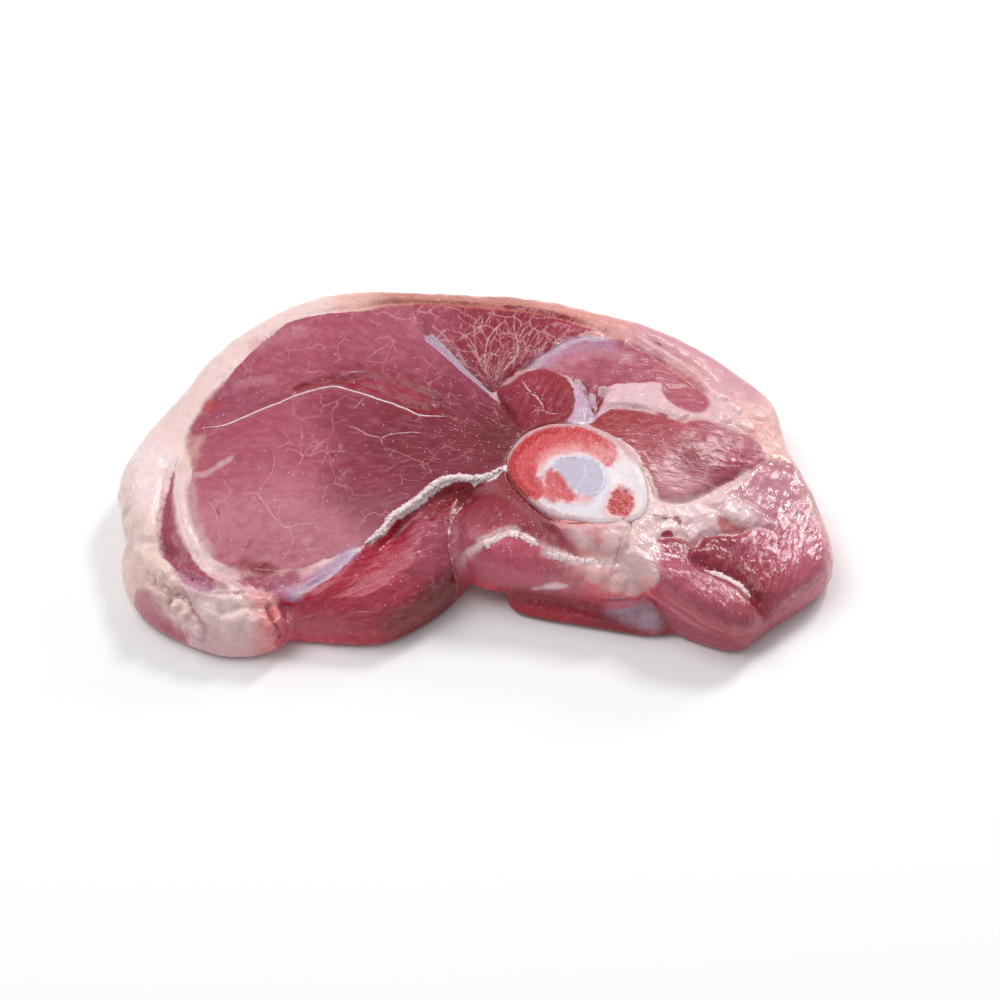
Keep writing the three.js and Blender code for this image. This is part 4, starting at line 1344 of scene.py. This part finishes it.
# dark marks of the saw and pale cracks: half width, route
BONE_LINES = [
    (0.28, [(30, -15), (32, -13.5), (35, -13), (39, -12.5)]),
    (0.22, [(44, -14.5), (47, -17.5), (48.5, -21.5), (48.5, -25), (47, -28), (44, -30.5), (41, -30.5)]),
    (0.25, [(49, -15), (49.3, -15.3)]),
    (0.25, [(36, -39.5), (36.3, -39.8)]),
]
BONE_CRACKS = [(0.2, [(41, -15), (41, -21), (39, -25), (38, -29.5), (37, -36)])]
print(len(BONE_POOLS), "pools and", len(BONE_BANDS), "bands of tone on the bone")

# %% Bone
bone = Skin(even_skin("bone", BONE_VOXEL, 2))
is_wall = 1 - soft_step(bone.out[:, 2], 0.3, 0.8)
bone.push(BONE_GROWTH * is_wall * (bone.at[:, 2] > 1))
bone_top = bone.at[:, 2].max()
on_cut = soft_step(bone.at[:, 2], bone_top - 4, bone_top - 2)
spongy = np.maximum.reduce([
    soft_step(bone.depth_in(outline), -0.3, 0.6) for outline in (MARROW, CURL, RED_SPOT)
]) * on_cut
bone_grain = rough(bone.at, 1.1, 2)
bone_waves = rough(bone.at, 8, 2, seed=4.0)
bone.push(on_cut * (0.10 * bone_waves - spongy * (0.35 + 0.22 * bone_grain)))
bone.push(on_cut * 0.18 * soft_step(bone.depth_in(DISC), -0.4, 0.6))
bone.at[:, 2] = np.maximum(bone.at[:, 2], 0)
bone.refresh()

ragged_bone = rough(bone.at, 1.6, 3, seed=2.0)
bone_tone = np.tile(light_of("sawn_bone"), (len(bone.at), 1))
for tone_name, strength, edge, outline in BONE_POOLS:
    cover = strength * soft_step(bone.depth_in(outline) + 1.3 * ragged_bone, -edge, edge) * on_cut
    bone_tone = wash(bone_tone, tone_name, cover)
for tone_name, strength, half_width, points in BONE_BANDS:
    far, _, share = bone.along(points, 3 * half_width)
    cover = strength * soft_step(far + 0.7 * half_width * ragged_bone, half_width * 1.4, half_width * 0.4)
    bone_tone = wash(bone_tone, tone_name, cover * fade_ends(share, 6) * on_cut)
below_cut = 1 - soft_step(bone.at[:, 2], bone_top - 6, bone_top - 2.5)
bone_tone = wash(bone_tone, "bone_skin", 0.7 * below_cut)

bone.store_colour("tone", bone_tone)
bone.store("spongy", spongy)
bone.store("marks", nearest_lines(bone, BONE_LINES))
bone.store("cracks", nearest_lines(bone, BONE_CRACKS))
print("bone:", len(bone.mesh.polygons), "faces, top at", round(float(bone_top), 1), "mm")

# %% [markdown]
# ## Shader groups
#
# Lean, fat and bone share a few things: branching veins, fine lines, tiny pale dots that are
# painted glints and grains of fat, and a moist film that breaks the light into small bright strokes. Each is
# a group of nodes that works
# in millimetres, so that its sizes can be read off a real piece of meat. Image textures could
# do the same, but would repeat and blur where a group stays sharp.

# %% Marbling
SHADER = "ShaderNodeTree"
FLOAT, VECTOR = "NodeSocketFloat", "NodeSocketVector"


def noise_value(tree, place_mm, size, detail=2.0, harshness=0.55):
    """Noise from 0 to 1 whose blotches are about size apart."""
    inputs = {"Vector": place_mm, "Scale": 1 / size, "Detail": detail, "Roughness": harshness}
    return place(tree, "ShaderNodeTexNoise", inputs, noise_type="FBM", normalize=True).outputs["Fac"]


def warped(tree, place_mm, size, amount):
    """The same place, moved about by a smooth random amount."""
    inputs = {"Vector": place_mm, "Scale": 1 / size, "Detail": 2.0}
    swirl = place(tree, "ShaderNodeTexNoise", inputs).outputs["Color"]
    centred = place(tree, "ShaderNodeVectorMath", {0: swirl, 1: (0.5, 0.5, 0.5)}, operation="SUBTRACT")
    moved = scaled(tree, centred.outputs[0], (2 * amount,) * 3)
    return place(tree, "ShaderNodeVectorMath", {0: place_mm, 1: moved}, operation="ADD").outputs[0]


def marbling_group():
    """Veins of fat: thin walls between warped cells, broken where a noise runs low."""
    tree, given, result = open_tree("Marbling", SHADER, [
        ("Place", "INPUT", VECTOR, None), ("Noise", "INPUT", FLOAT, 0.5), ("Cell size", "INPUT", FLOAT, 8.0),
        ("Half width", "INPUT", FLOAT, 0.3), ("Gaps", "INPUT", FLOAT, 0.5), ("Vein", "OUTPUT", FLOAT, None),
    ])
    moved = warped(tree, warped(tree, given["Place"], 9, 3.2), 2.2, 0.5)
    pitch = maths(tree, "DIVIDE", 1.0, given["Cell size"])
    cells = place(
        tree, "ShaderNodeTexVoronoi", {"Vector": moved, "Scale": pitch}, feature="DISTANCE_TO_EDGE"
    )
    wall = times(tree, cells.outputs["Distance"], given["Cell size"])
    thickness = times(tree, given["Half width"], times(tree, given["Noise"], 2.0))
    line = ramp(tree, wall, times(tree, thickness, 0.35), thickness, 1, 0)
    shown = ramp(tree, noise_value(tree, given["Place"], 7, 1.0), given["Gaps"],
                 maths(tree, "ADD", given["Gaps"], 0.1))
    tree.links.new(times(tree, line, shown), result["Vein"])
    return tree


MARBLING = marbling_group()
print("group:", MARBLING.name)


# %% Fine lines, and pale dots of painted glints and fat
def fine_line_group():
    """Draws a line from the measures kept on the points: signed distance, distance, half width."""
    tree, given, result = open_tree("Fine line", SHADER, [
        ("Measures", "INPUT", VECTOR, None), ("Noise", "INPUT", FLOAT, 0.5), ("Ragged", "INPUT", FLOAT, 0.8),
        ("Broken", "INPUT", FLOAT, 0.3), ("Line", "OUTPUT", FLOAT, None),
    ])
    measures = place(tree, "ShaderNodeSeparateXYZ", {0: given["Measures"]}).outputs
    wobble = times(tree, about_zero(tree, given["Noise"]), given["Ragged"])
    distance = maths(tree, "ABSOLUTE", maths(tree, "ADD", measures["X"], wobble))
    line = ramp(tree, distance, times(tree, measures["Z"], 0.5), times(tree, measures["Z"], 1.3), 1, 0)
    line = times(tree, line, ramp(tree, measures["Z"], 0.05, 0.4, 0.35, 1))
    near = ramp(tree, measures["Y"], maths(tree, "ADD", measures["Z"], 0.5),
                maths(tree, "ADD", measures["Z"], 1.2), 1, 0)
    whole = ramp(tree, given["Noise"], times(tree, given["Broken"], 0.8),
                 maths(tree, "ADD", given["Broken"], 0.18))
    cover = times(tree, times(tree, line, near), whole)
    tree.links.new(cover, result["Line"])
    return tree


def glint_and_fat_dot_group():
    """Tiny pale dots, partly painted glints of light on moisture and partly grains of fat: some cells of a
    fine lattice hold one each.
    """
    tree, given, result = open_tree("Glint and fat dots", SHADER, [
        ("Place", "INPUT", VECTOR, None), ("Density", "INPUT", FLOAT, 0.02), ("Glint or fat dot", "OUTPUT", FLOAT, None),
    ])
    cells = place(tree, "ShaderNodeTexVoronoi", {"Vector": given["Place"], "Scale": 1 / 0.9})
    chance = place(tree, "ShaderNodeSeparateColor", {0: cells.outputs["Color"]}).outputs
    dot = ramp(tree, cells.outputs["Distance"], 0.16, 0.30, 1, 0)
    chosen = maths(tree, "LESS_THAN", chance[0], given["Density"])
    tree.links.new(times(tree, dot, chosen), result["Glint or fat dot"])
    return tree


FINE_LINE = fine_line_group()
GLINT_AND_FAT_DOTS = glint_and_fat_dot_group()
print("groups:", FINE_LINE.name, "and", GLINT_AND_FAT_DOTS.name)


# %% Moist skin
def moist_group():
    """Relief and sheen of a wet cut: pits and fibres in mm, and roughness that comes and goes."""
    tree, given, result = open_tree("Moist skin", SHADER, [
        ("Place", "INPUT", VECTOR, None), ("Fibre place", "INPUT", VECTOR, None),
        ("Grain", "INPUT", FLOAT, 1.0), ("Wet", "INPUT", FLOAT, 0.4), ("Height", "OUTPUT", FLOAT, None),
        ("Roughness", "OUTPUT", FLOAT, None),
    ])
    drawn_out = scaled(tree, given["Fibre place"], (0.3, 1.25, 0.9))
    strands = noise_value(tree, drawn_out, 0.9, 2.0)
    pits = noise_value(tree, given["Place"], 0.8, 3.0, 0.6)
    round_swells = noise_value(tree, given["Place"], 2.6, 2.0)
    long_swells = noise_value(tree, scaled(tree, given["Fibre place"], (0.45, 1.0, 1.0)), 2.3, 2.0)
    longer = maths(tree, "SUBTRACT", long_swells, round_swells)
    swells = times_plus(tree, longer, given["Grain"], round_swells)
    strands = times(tree, about_zero(tree, strands), given["Grain"])
    height = times(tree, strands, 0.13)
    height = times_plus(tree, pits, 0.06, height)
    most = times(tree, given["Wet"], given["Wet"])
    height = times_plus(tree, swells, times_plus(tree, most, 0.75, 0.2), height)
    tree.links.new(height, result["Height"])
    patches = ramp(tree, noise_value(tree, given["Place"], 5, 3.0), 0.35, 0.62)
    wetness = times(tree, given["Wet"], times_plus(tree, patches, 0.5, 0.6))
    dullness = times_plus(tree, wetness, -0.36, 0.46)
    dullness = times_plus(tree, about_zero(tree, pits), 0.10, dullness)
    tree.links.new(dullness, result["Roughness"])
    return tree


MOIST = moist_group()
print("group:", MOIST.name)


# %% Material helpers
def use(tree, group, inputs):
    """Put a group into a tree and give its inputs; its outputs come back."""
    return place(tree, "ShaderNodeGroup", inputs, node_tree=group).outputs


def new_material(name, fixed):
    """A Principled material; fixed holds the inputs that don't vary."""
    material = bpy.data.materials.new(name)
    material.use_nodes = True
    tree = material.node_tree
    shader = tree.nodes["Principled BSDF"]
    for key, value in fixed.items():
        shader.inputs[key].default_value = value
    return material, tree, shader


def object_mm(tree):
    coords = place(tree, "ShaderNodeTexCoord").outputs["Object"]
    return scaled(tree, coords, (1000, 1000, 1000))


def tone(name):
    return (*light_of(name), 1.0)


def finish_material(tree, shader, colour, roughness, height, bump=1.0):
    """Link the three things that vary; height is in millimetres."""
    tree.links.new(colour, shader.inputs["Base Color"])
    tree.links.new(roughness, shader.inputs["Roughness"])
    raised = place(tree, "ShaderNodeBump", {"Height": height, "Strength": bump, "Distance": 0.001})
    tree.links.new(raised.outputs["Normal"], shader.inputs["Normal"])


print("the tone rose as light:", [round(part, 3) for part in tone("rose")])

# %% [markdown]
# ## The meat's material
#
# One material covers the whole skin, because on real meat lean runs into fat without an
# edge. It cuts lean from fat where the stored depth crosses zero, adds the fibre grain, the
# marbling and the blotches to the lean, the lobules to the fat, and draws threads, slits of
# painted shade and pale dots of painted glints and fat on top. Meat passes red light further
# than blue, which the subsurface radii give. The parts of the tree stand in the order in which
# the eye meets them on the cut.

# %% Meat material
FLESH = {
    "IOR": 1.4,
    "Subsurface Weight": 0.3,
    "Subsurface Radius": (2.4, 0.9, 0.6),
    "Subsurface Scale": 0.001,
    "Coat Weight": 0.22,
    "Coat Roughness": 0.16,
    "Coat IOR": 1.35,
}


def meat_material():
    material, tree, shader = new_material("raw pork", FLESH)
    at = object_mm(tree)
    fibre_at = read(tree, "fibres", "Vector")
    fine = noise_value(tree, at, 0.9, 3.0)
    medium = noise_value(tree, at, 3.2, 3.0)

    # lean or fat, cut along a ragged edge
    depth = times_plus(tree, about_zero(tree, medium), 1.6, read(tree, "lean_depth"))
    depth = times_plus(tree, about_zero(tree, fine), 1.2, depth)
    softness = read(tree, "softness")
    in_lean = ramp(tree, depth, maths(tree, "SUBTRACT", -0.35, softness), maths(tree, "ADD", 0.45, softness))

    # lean: soft blotches, and the grain along the fibres
    lean = read(tree, "lean_tone", "Color")
    darker = blend_colour(tree, 1.0, lean, (0.72, 0.56, 0.62, 1), "MULTIPLY")
    paler = blend_colour(tree, 0.5, lean, tone("petal"))
    lean = blend_colour(tree, ramp(tree, medium, 0.46, 0.72, 0, 0.50), lean, darker)
    lean = blend_colour(tree, ramp(tree, medium, 0.46, 0.26, 0, 0.22), lean, paler)
    grain = read(tree, "grain")
    strands = noise_value(tree, scaled(tree, fibre_at, (0.2, 1.2, 0.7)), 1.1, 3.0)
    strands = times_plus(tree, about_zero(tree, strands), grain, 0.5)
    lean = blend_colour(tree, ramp(tree, strands, 0.50, 0.70, 0, 0.28), lean, paler)
    lean = blend_colour(tree, ramp(tree, strands, 0.50, 0.32, 0, 0.36), lean, darker)

    # marbling: a net of thin pale veins; the tiny pale dots of painted glints and fat follow below
    amount = read(tree, "marbling")
    wide_net = use(tree, MARBLING, {
        "Place": scaled(tree, fibre_at, (0.7, 1.0, 1.0)), "Noise": fine, "Cell size": 6.0,
        "Half width": 0.17, "Gaps": 0.48,
    })["Vein"]
    close_net = use(tree, MARBLING, {
        "Place": scaled(tree, fibre_at, (0.75, 0.8, 0.8)), "Noise": fine, "Cell size": 5.4,
        "Half width": 0.42, "Gaps": 0.38,
    })["Vein"]
    wide_net = times(tree, times(tree, wide_net, grain),
                     ramp(tree, amount, 0.0, 0.4, 0, 0.34))
    close_net = times(tree, close_net, ramp(tree, amount, 0.5, 1.0, 0, 0.46))
    lean = blend_colour(tree, maths(tree, "MAXIMUM", wide_net, close_net), lean, tone("vein"))

    # fat: lobules with slightly pinker gaps between them
    fat = read(tree, "fat_tone", "Color")
    pinker = blend_colour(tree, 1.0, fat, (0.95, 0.78, 0.78, 1), "MULTIPLY")
    fat = blend_colour(tree, ramp(tree, medium, 0.48, 0.72, 0, 0.55), fat, pinker)
    fat = blend_colour(tree, ramp(tree, strands, 0.52, 0.34, 0, 0.25), fat, pinker)
    fat = blend_colour(tree, ramp(tree, fine, 0.56, 0.70, 0, 0.3), fat, tone("pearl"))
    colour = blend_colour(tree, in_lean, fat, lean)

    # fine lines, and pale dots that are painted glints of moisture and grains of fat
    both = times(tree, maths(tree, "ADD", fine, medium), 0.5)
    thread = use(tree, FINE_LINE, {
        "Measures": read(tree, "threads", "Vector"), "Noise": both, "Ragged": 2.2, "Broken": 0.36,
    })["Line"]
    shade_slit = use(tree, FINE_LINE, {
        "Measures": read(tree, "shade_slits", "Vector"), "Noise": fine, "Ragged": 0.8, "Broken": 0.2,
    })["Line"]
    # slits darken to blood red as painted shade inside narrow gaps
    colour = blend_colour(tree, times(tree, shade_slit, 0.7), colour, tone("blood"))
    colour = blend_colour(tree, times(tree, thread, 0.85), colour, tone("fat_rose"))
    # the pale dots are painted glints of moisture, with some real grains of fat among them
    density = times_plus(tree, read(tree, "glint_and_fat_specks"), 0.16, 0.012)
    glint_or_fat_dot = use(tree, GLINT_AND_FAT_DOTS, {"Place": at, "Density": density})["Glint or fat dot"]
    colour = blend_colour(tree, times(tree, glint_or_fat_dot, 0.8), colour, tone("pearl"))

    # the silvery skin between two muscles, with its cross stripes
    membrane = place(tree, "ShaderNodeSeparateXYZ", {0: read(tree, "ladder", "Vector")}).outputs
    sideways = maths(tree, "DIVIDE", membrane["X"], maths(tree, "MAXIMUM", membrane["Z"], 0.01))
    sideways = times_plus(tree, about_zero(tree, both), 1.8, sideways)
    on_strip = ramp(tree, maths(tree, "ABSOLUTE", sideways), 0.7, 1.2, 1, 0)
    on_strip = times(tree, on_strip, maths(tree, "GREATER_THAN", membrane["Z"], 0.05))
    wave = times_plus(tree, sideways, 0.4, times(tree, membrane["Y"], 4.8))
    wave = maths(tree, "SINE", times_plus(tree, medium, 7.0, wave))
    stripe = times(tree, ramp(tree, wave, 0.0, 0.8), ramp(tree, sideways, 0.9, -0.1, 0, 0.9))
    strip = blend_colour(tree, stripe, tone("mist"), tone("slate"))
    colour = blend_colour(tree, times(tree, on_strip, 0.8), colour, strip)

    moist = use(tree, MOIST, {
        "Place": at, "Fibre place": fibre_at, "Grain": grain, "Wet": read(tree, "wet"),
    })
    coat = times_plus(tree, read(tree, "wet"), 0.45, 0.05)
    tree.links.new(coat, shader.inputs["Coat Weight"])
    finish_material(tree, shader, colour, moist["Roughness"], moist["Height"])
    return material


def shade_smooth(mesh):
    mesh.polygons.foreach_set("use_smooth", np.ones(len(mesh.polygons), bool))
    mesh.update()


def dress(name, mesh, material):
    """An object that wears one material, smooth all over."""
    mesh.materials.append(material)
    shade_smooth(mesh)
    return add_object(name, mesh)


meat_piece = dress("meat_skin", meat.mesh, meat_material())
print(meat_piece.name, "wears", meat.mesh.materials[0].name)

# %% [markdown]
# ## Fat that stands proud
#
# Some fat isn't part of the cut: a beaded cord lies along the front seam, a thin white
# thread crosses the broad muscle, crests of grains stand on the muscle below the bone, and
# one lies in the shank's fold. Each is a strand laid on the carved skin: a tube that swells
# and shrinks along its route, with small grains of fat scattered over it. Geometry nodes
# suit it, because one tree with a few named inputs makes all five.

# %% Strand tree
GEOMETRY = "NodeSocketGeometry"
SMALLEST_GRAIN, LARGEST_GRAIN = 0.45, 1.35  # shares of the grain radius
# route, half width in mm, rise above the skin in mm, grains for each square mm, their radius in mm
STRANDS = {
    "beaded_cord": (CORD_LINE, 1.15, 0.9, 0.6, 0.42),
    "white_thread": (THREAD_LINE, 0.32, 0.25, 0.2, 0.22),
    "fat_crest": ([(3, -47.3), (9, -45.5), (14, -43.8), (19, -45), (24, -48)], 3.2, 0.45, 0.7, 0.28),
    "cream_ridge": ([(27, -50.5), (33, -51.5), (40, -53), (48, -54)], 2.6, 0.25, 0.3, 0.34),
    "shank_lip": ([(84, -55.5), (88, -55), (92, -56.5), (96, -59), (100, -63)], 1.7, 0.4, 0.1, 0.3),
}


def strand_group():
    """A tube of uneven width along a route, with grains on it."""
    tree, given, result = open_tree("Strand of fat", "GeometryNodeTree", [
        ("Route", "INPUT", GEOMETRY, None), ("Grains per area", "INPUT", FLOAT, 1e6),
        ("Grain radius", "INPUT", FLOAT, 0.0004), ("Lump height", "INPUT", FLOAT, 0.0006),
        ("Seed", "INPUT", "NodeSocketInt", 1),
        ("Material", "INPUT", "NodeSocketMaterial", None), ("Strand", "OUTPUT", GEOMETRY, None),
    ])
    curve = place(tree, "GeometryNodeMeshToCurve", {"Mesh": given["Route"]}).outputs[0]
    even = place(
        tree, "GeometryNodeResampleCurve", {"Curve": curve, "Length": 0.3 * MM}, mode="LENGTH"
    ).outputs[0]
    profile = place(tree, "GeometryNodeCurvePrimitiveCircle", {"Resolution": 10, "Radius": 1.0}).outputs[0]
    wide = place(tree, "GeometryNodeInputNamedAttribute", {"Name": "half_width"}, data_type="FLOAT")
    tube = place(tree, "GeometryNodeCurveToMesh", {
        "Curve": even, "Profile Curve": profile, "Scale": wide.outputs["Attribute"], "Fill Caps": True,
    }).outputs[0]
    blotches = place(tree, "ShaderNodeTexNoise", {"Scale": 1 / (1.1 * MM), "Detail": 2.0}).outputs["Fac"]
    push = times(tree, maths(tree, "SUBTRACT", blotches, 0.45), given["Lump height"])
    outwards = place(tree, "GeometryNodeInputNormal").outputs[0]
    offset = place(tree, "ShaderNodeVectorMath", {0: outwards, "Scale": push}, operation="SCALE").outputs[0]
    lumpy = place(tree, "GeometryNodeSetPosition", {"Geometry": tube, "Offset": offset}).outputs[0]
    spread = place(tree, "GeometryNodeDistributePointsOnFaces", {
        "Mesh": lumpy, "Density": given["Grains per area"], "Seed": given["Seed"],
    }).outputs["Points"]
    grain = place(tree, "GeometryNodeMeshIcoSphere", {
        "Radius": given["Grain radius"], "Subdivisions": 2,
    }).outputs[0]
    chance = place(tree, "FunctionNodeRandomValue", {
        "Seed": given["Seed"], 2: SMALLEST_GRAIN, 3: LARGEST_GRAIN,
    }, data_type="FLOAT")
    grains = place(tree, "GeometryNodeInstanceOnPoints", {
        "Points": spread, "Instance": grain, "Scale": chance.outputs[1],
    }).outputs[0]
    joined = place(tree, "GeometryNodeJoinGeometry")
    tree.links.new(grains, joined.inputs[0])
    tree.links.new(lumpy, joined.inputs[0])
    whole = place(tree, "GeometryNodeRealizeInstances", {"Geometry": joined.outputs[0]}).outputs[0]
    dressed = place(tree, "GeometryNodeSetMaterial", {
        "Geometry": whole, "Material": given["Material"],
    }).outputs[0]
    tree.links.new(dressed, result["Strand"])
    return tree


STRAND = strand_group()
print(STRAND.name, "has", len(STRAND.nodes), "nodes")


# %% Strands of fat
def strand_material(name, tones):
    material, tree, shader = new_material(name, {**FLESH, "Subsurface Weight": 0.0})
    at = object_mm(tree)
    fine = noise_value(tree, at, 0.8, 3.0)
    medium = noise_value(tree, at, 3.0, 2.0)
    colour = blend_colour(tree, ramp(tree, medium, 0.38, 0.62), tone(tones[0]), tone(tones[1]))
    colour = blend_colour(tree, ramp(tree, fine, 0.46, 0.62), colour, tone(tones[2]))
    moist = use(tree, MOIST, {"Place": at, "Fibre place": at, "Grain": 0.3, "Wet": 0.4})
    finish_material(tree, shader, colour, moist["Roughness"], moist["Height"], bump=0.4)
    return material


def laid_route(points, half_width, rise):
    """A mesh of edges along a path that lies on the carved skin, with its half width."""
    path = smooth_path(points, step=0.6)
    faces_up = meat.at[meat.up > 0.3]
    heights = []
    for place_mm in path:
        far = np.linalg.norm(faces_up[:, :2] - place_mm[:2], axis=1)
        heights.append(faces_up[np.argpartition(far, 4)[:4], 2].mean())
    share = np.linspace(0, 1, len(path))
    uneven = 1 + 0.4 * rough(np.column_stack([path[:, :2], 0 * share]), 2.5, 2)
    widths = half_width * (0.15 + 0.85 * fade_ends(share, 3)) * uneven
    heights = np.array(heights) + rise - widths
    spots = np.column_stack([path[:, :2], heights]) * MM
    route = bpy.data.meshes.new("route")
    route.from_pydata(spots.tolist(), [(k, k + 1) for k in range(len(path) - 1)], [])
    route.attributes.new("half_width", "FLOAT", "POINT").data.foreach_set("value", widths * MM)
    return route


def grow(name, tree, data, values):
    """Run a geometry tree on a mesh and keep what it makes as a plain object."""
    seedling = add_object(name, data)
    modifier = seedling.modifiers.new("grow", "NODES")
    modifier.node_group = tree
    sockets = {item.name: item.identifier for item in tree.interface.items_tree if item.in_out == "INPUT"}
    for socket_name, value in values.items():
        modifier[sockets[socket_name]] = value
    evaluated = seedling.evaluated_get(bpy.context.evaluated_depsgraph_get())
    grown = bpy.data.meshes.new_from_object(evaluated)
    seedling.modifiers.clear()
    seedling.data = grown
    shade_smooth(grown)
    return seedling


THIN = 1.5  # strands of less than this half width are clean cords; wider ones are grainy crests
MOST_LUMPY = 1.1  # mm; a wide strand is no lumpier than this
CORD_FAT = strand_material("beaded fat", ("pearl", "sinew", "pearl"))
CREST_FAT = strand_material("grainy fat", ("sinew", "fat_rose", "pearl"))
strands = []
for seed, (name, (points, half_width, rise, per_mm2, grain_radius)) in enumerate(STRANDS.items(), start=1):
    strands.append(grow(name, STRAND, laid_route(points, half_width, rise), {
        "Grains per area": per_mm2 / MM**2, "Grain radius": grain_radius * MM,
        "Lump height": min(half_width, MOST_LUMPY) * MM, "Seed": seed,
        "Material": CORD_FAT if half_width < THIN else CREST_FAT,
    }))
    print(name, "has", len(strands[-1].data.polygons), "faces")

# %% [markdown]
# ## The bone's material
#
# Sawn bone is chalky and only a little moist. Its spongy parts are a net of fine pale beams
# with red marrow in the holes. Real holes would take far too many faces, so the colour is
# broken up by small cells there, over the relief that the mesh already has.

# %% Bone material
HARD_BONE = {
    "IOR": 1.45, "Subsurface Weight": 0.12, "Subsurface Radius": (1.4, 0.9, 0.7),
    "Subsurface Scale": 0.001, "Coat Weight": 0.12, "Coat Roughness": 0.2,
}


def bone_material():
    material, tree, shader = new_material("sawn bone", HARD_BONE)
    at = object_mm(tree)
    spongy_share = read(tree, "spongy")
    fine = noise_value(tree, at, 0.7, 3.0)
    medium = noise_value(tree, at, 2.4, 3.0)
    colour = read(tree, "tone", "Color")
    dusty = blend_colour(tree, 1.0, colour, (0.90, 0.86, 0.88, 1), "MULTIPLY")
    colour = blend_colour(tree, ramp(tree, medium, 0.45, 0.7, 0, 0.6), colour, dusty)
    beams = place(tree, "ShaderNodeTexVoronoi", {"Vector": warped(tree, at, 1.2, 0.4), "Scale": 1 / 0.75})
    in_holes = times(tree, ramp(tree, beams.outputs["Distance"], 0.55, 0.25), spongy_share)
    redder = blend_colour(tree, 1.0, colour, (0.84, 0.30, 0.34, 1), "MULTIPLY")
    in_holes = times(tree, in_holes, ramp(tree, medium, 0.35, 0.62, 0.2, 1))
    colour = blend_colour(tree, times(tree, in_holes, 0.8), colour, redder)
    flecks = times(tree, ramp(tree, fine, 0.56, 0.66), spongy_share)
    colour = blend_colour(tree, times(tree, flecks, 0.4), colour, tone("marrow_pale"))
    mark = use(tree, FINE_LINE, {
        "Measures": read(tree, "marks", "Vector"), "Noise": fine, "Ragged": 0.4, "Broken": 0.42,
    })["Line"]
    crack = use(tree, FINE_LINE, {
        "Measures": read(tree, "cracks", "Vector"), "Noise": fine, "Ragged": 0.5, "Broken": 0.3,
    })["Line"]
    colour = blend_colour(tree, times(tree, mark, 0.8), colour, tone("ink"))
    colour = blend_colour(tree, times(tree, crack, 0.85), colour, tone("pearl"))
    dullness = times_plus(tree, medium, 0.25, 0.30)
    finish_material(tree, shader, colour, dullness, times(tree, fine, 0.16))
    return material


bone_piece = dress("sawn_bone", bone.mesh, bone_material())
print(bone_piece.name, "wears", bone.mesh.materials[0].name)

# %% [markdown]
# ## The table
#
# The table is a matt sheet. A glossy one would mirror the meat and take the eye off it.

# %% Table material
PALE_TABLE = {"Base Color": (0.93, 0.93, 0.935, 1), "Roughness": 0.75, "Specular IOR Level": 0.2}
table_material, _, _ = new_material("plain pale table", PALE_TABLE)
table_mesh.materials.append(table_material)
print("table:", table_material.name)

# %% [markdown]
# ## Handing over
#
# Every piece rides with the one body, since nothing here moves by itself. The skin and the
# bone take the places of the two imported solids, and the strands are added to them.

# %% Finish
for piece, node in ((meat_piece, "meat"), (bone_piece, "bone")):
    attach(piece, "root")
    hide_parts(node)
for piece in strands:
    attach(piece, "root")
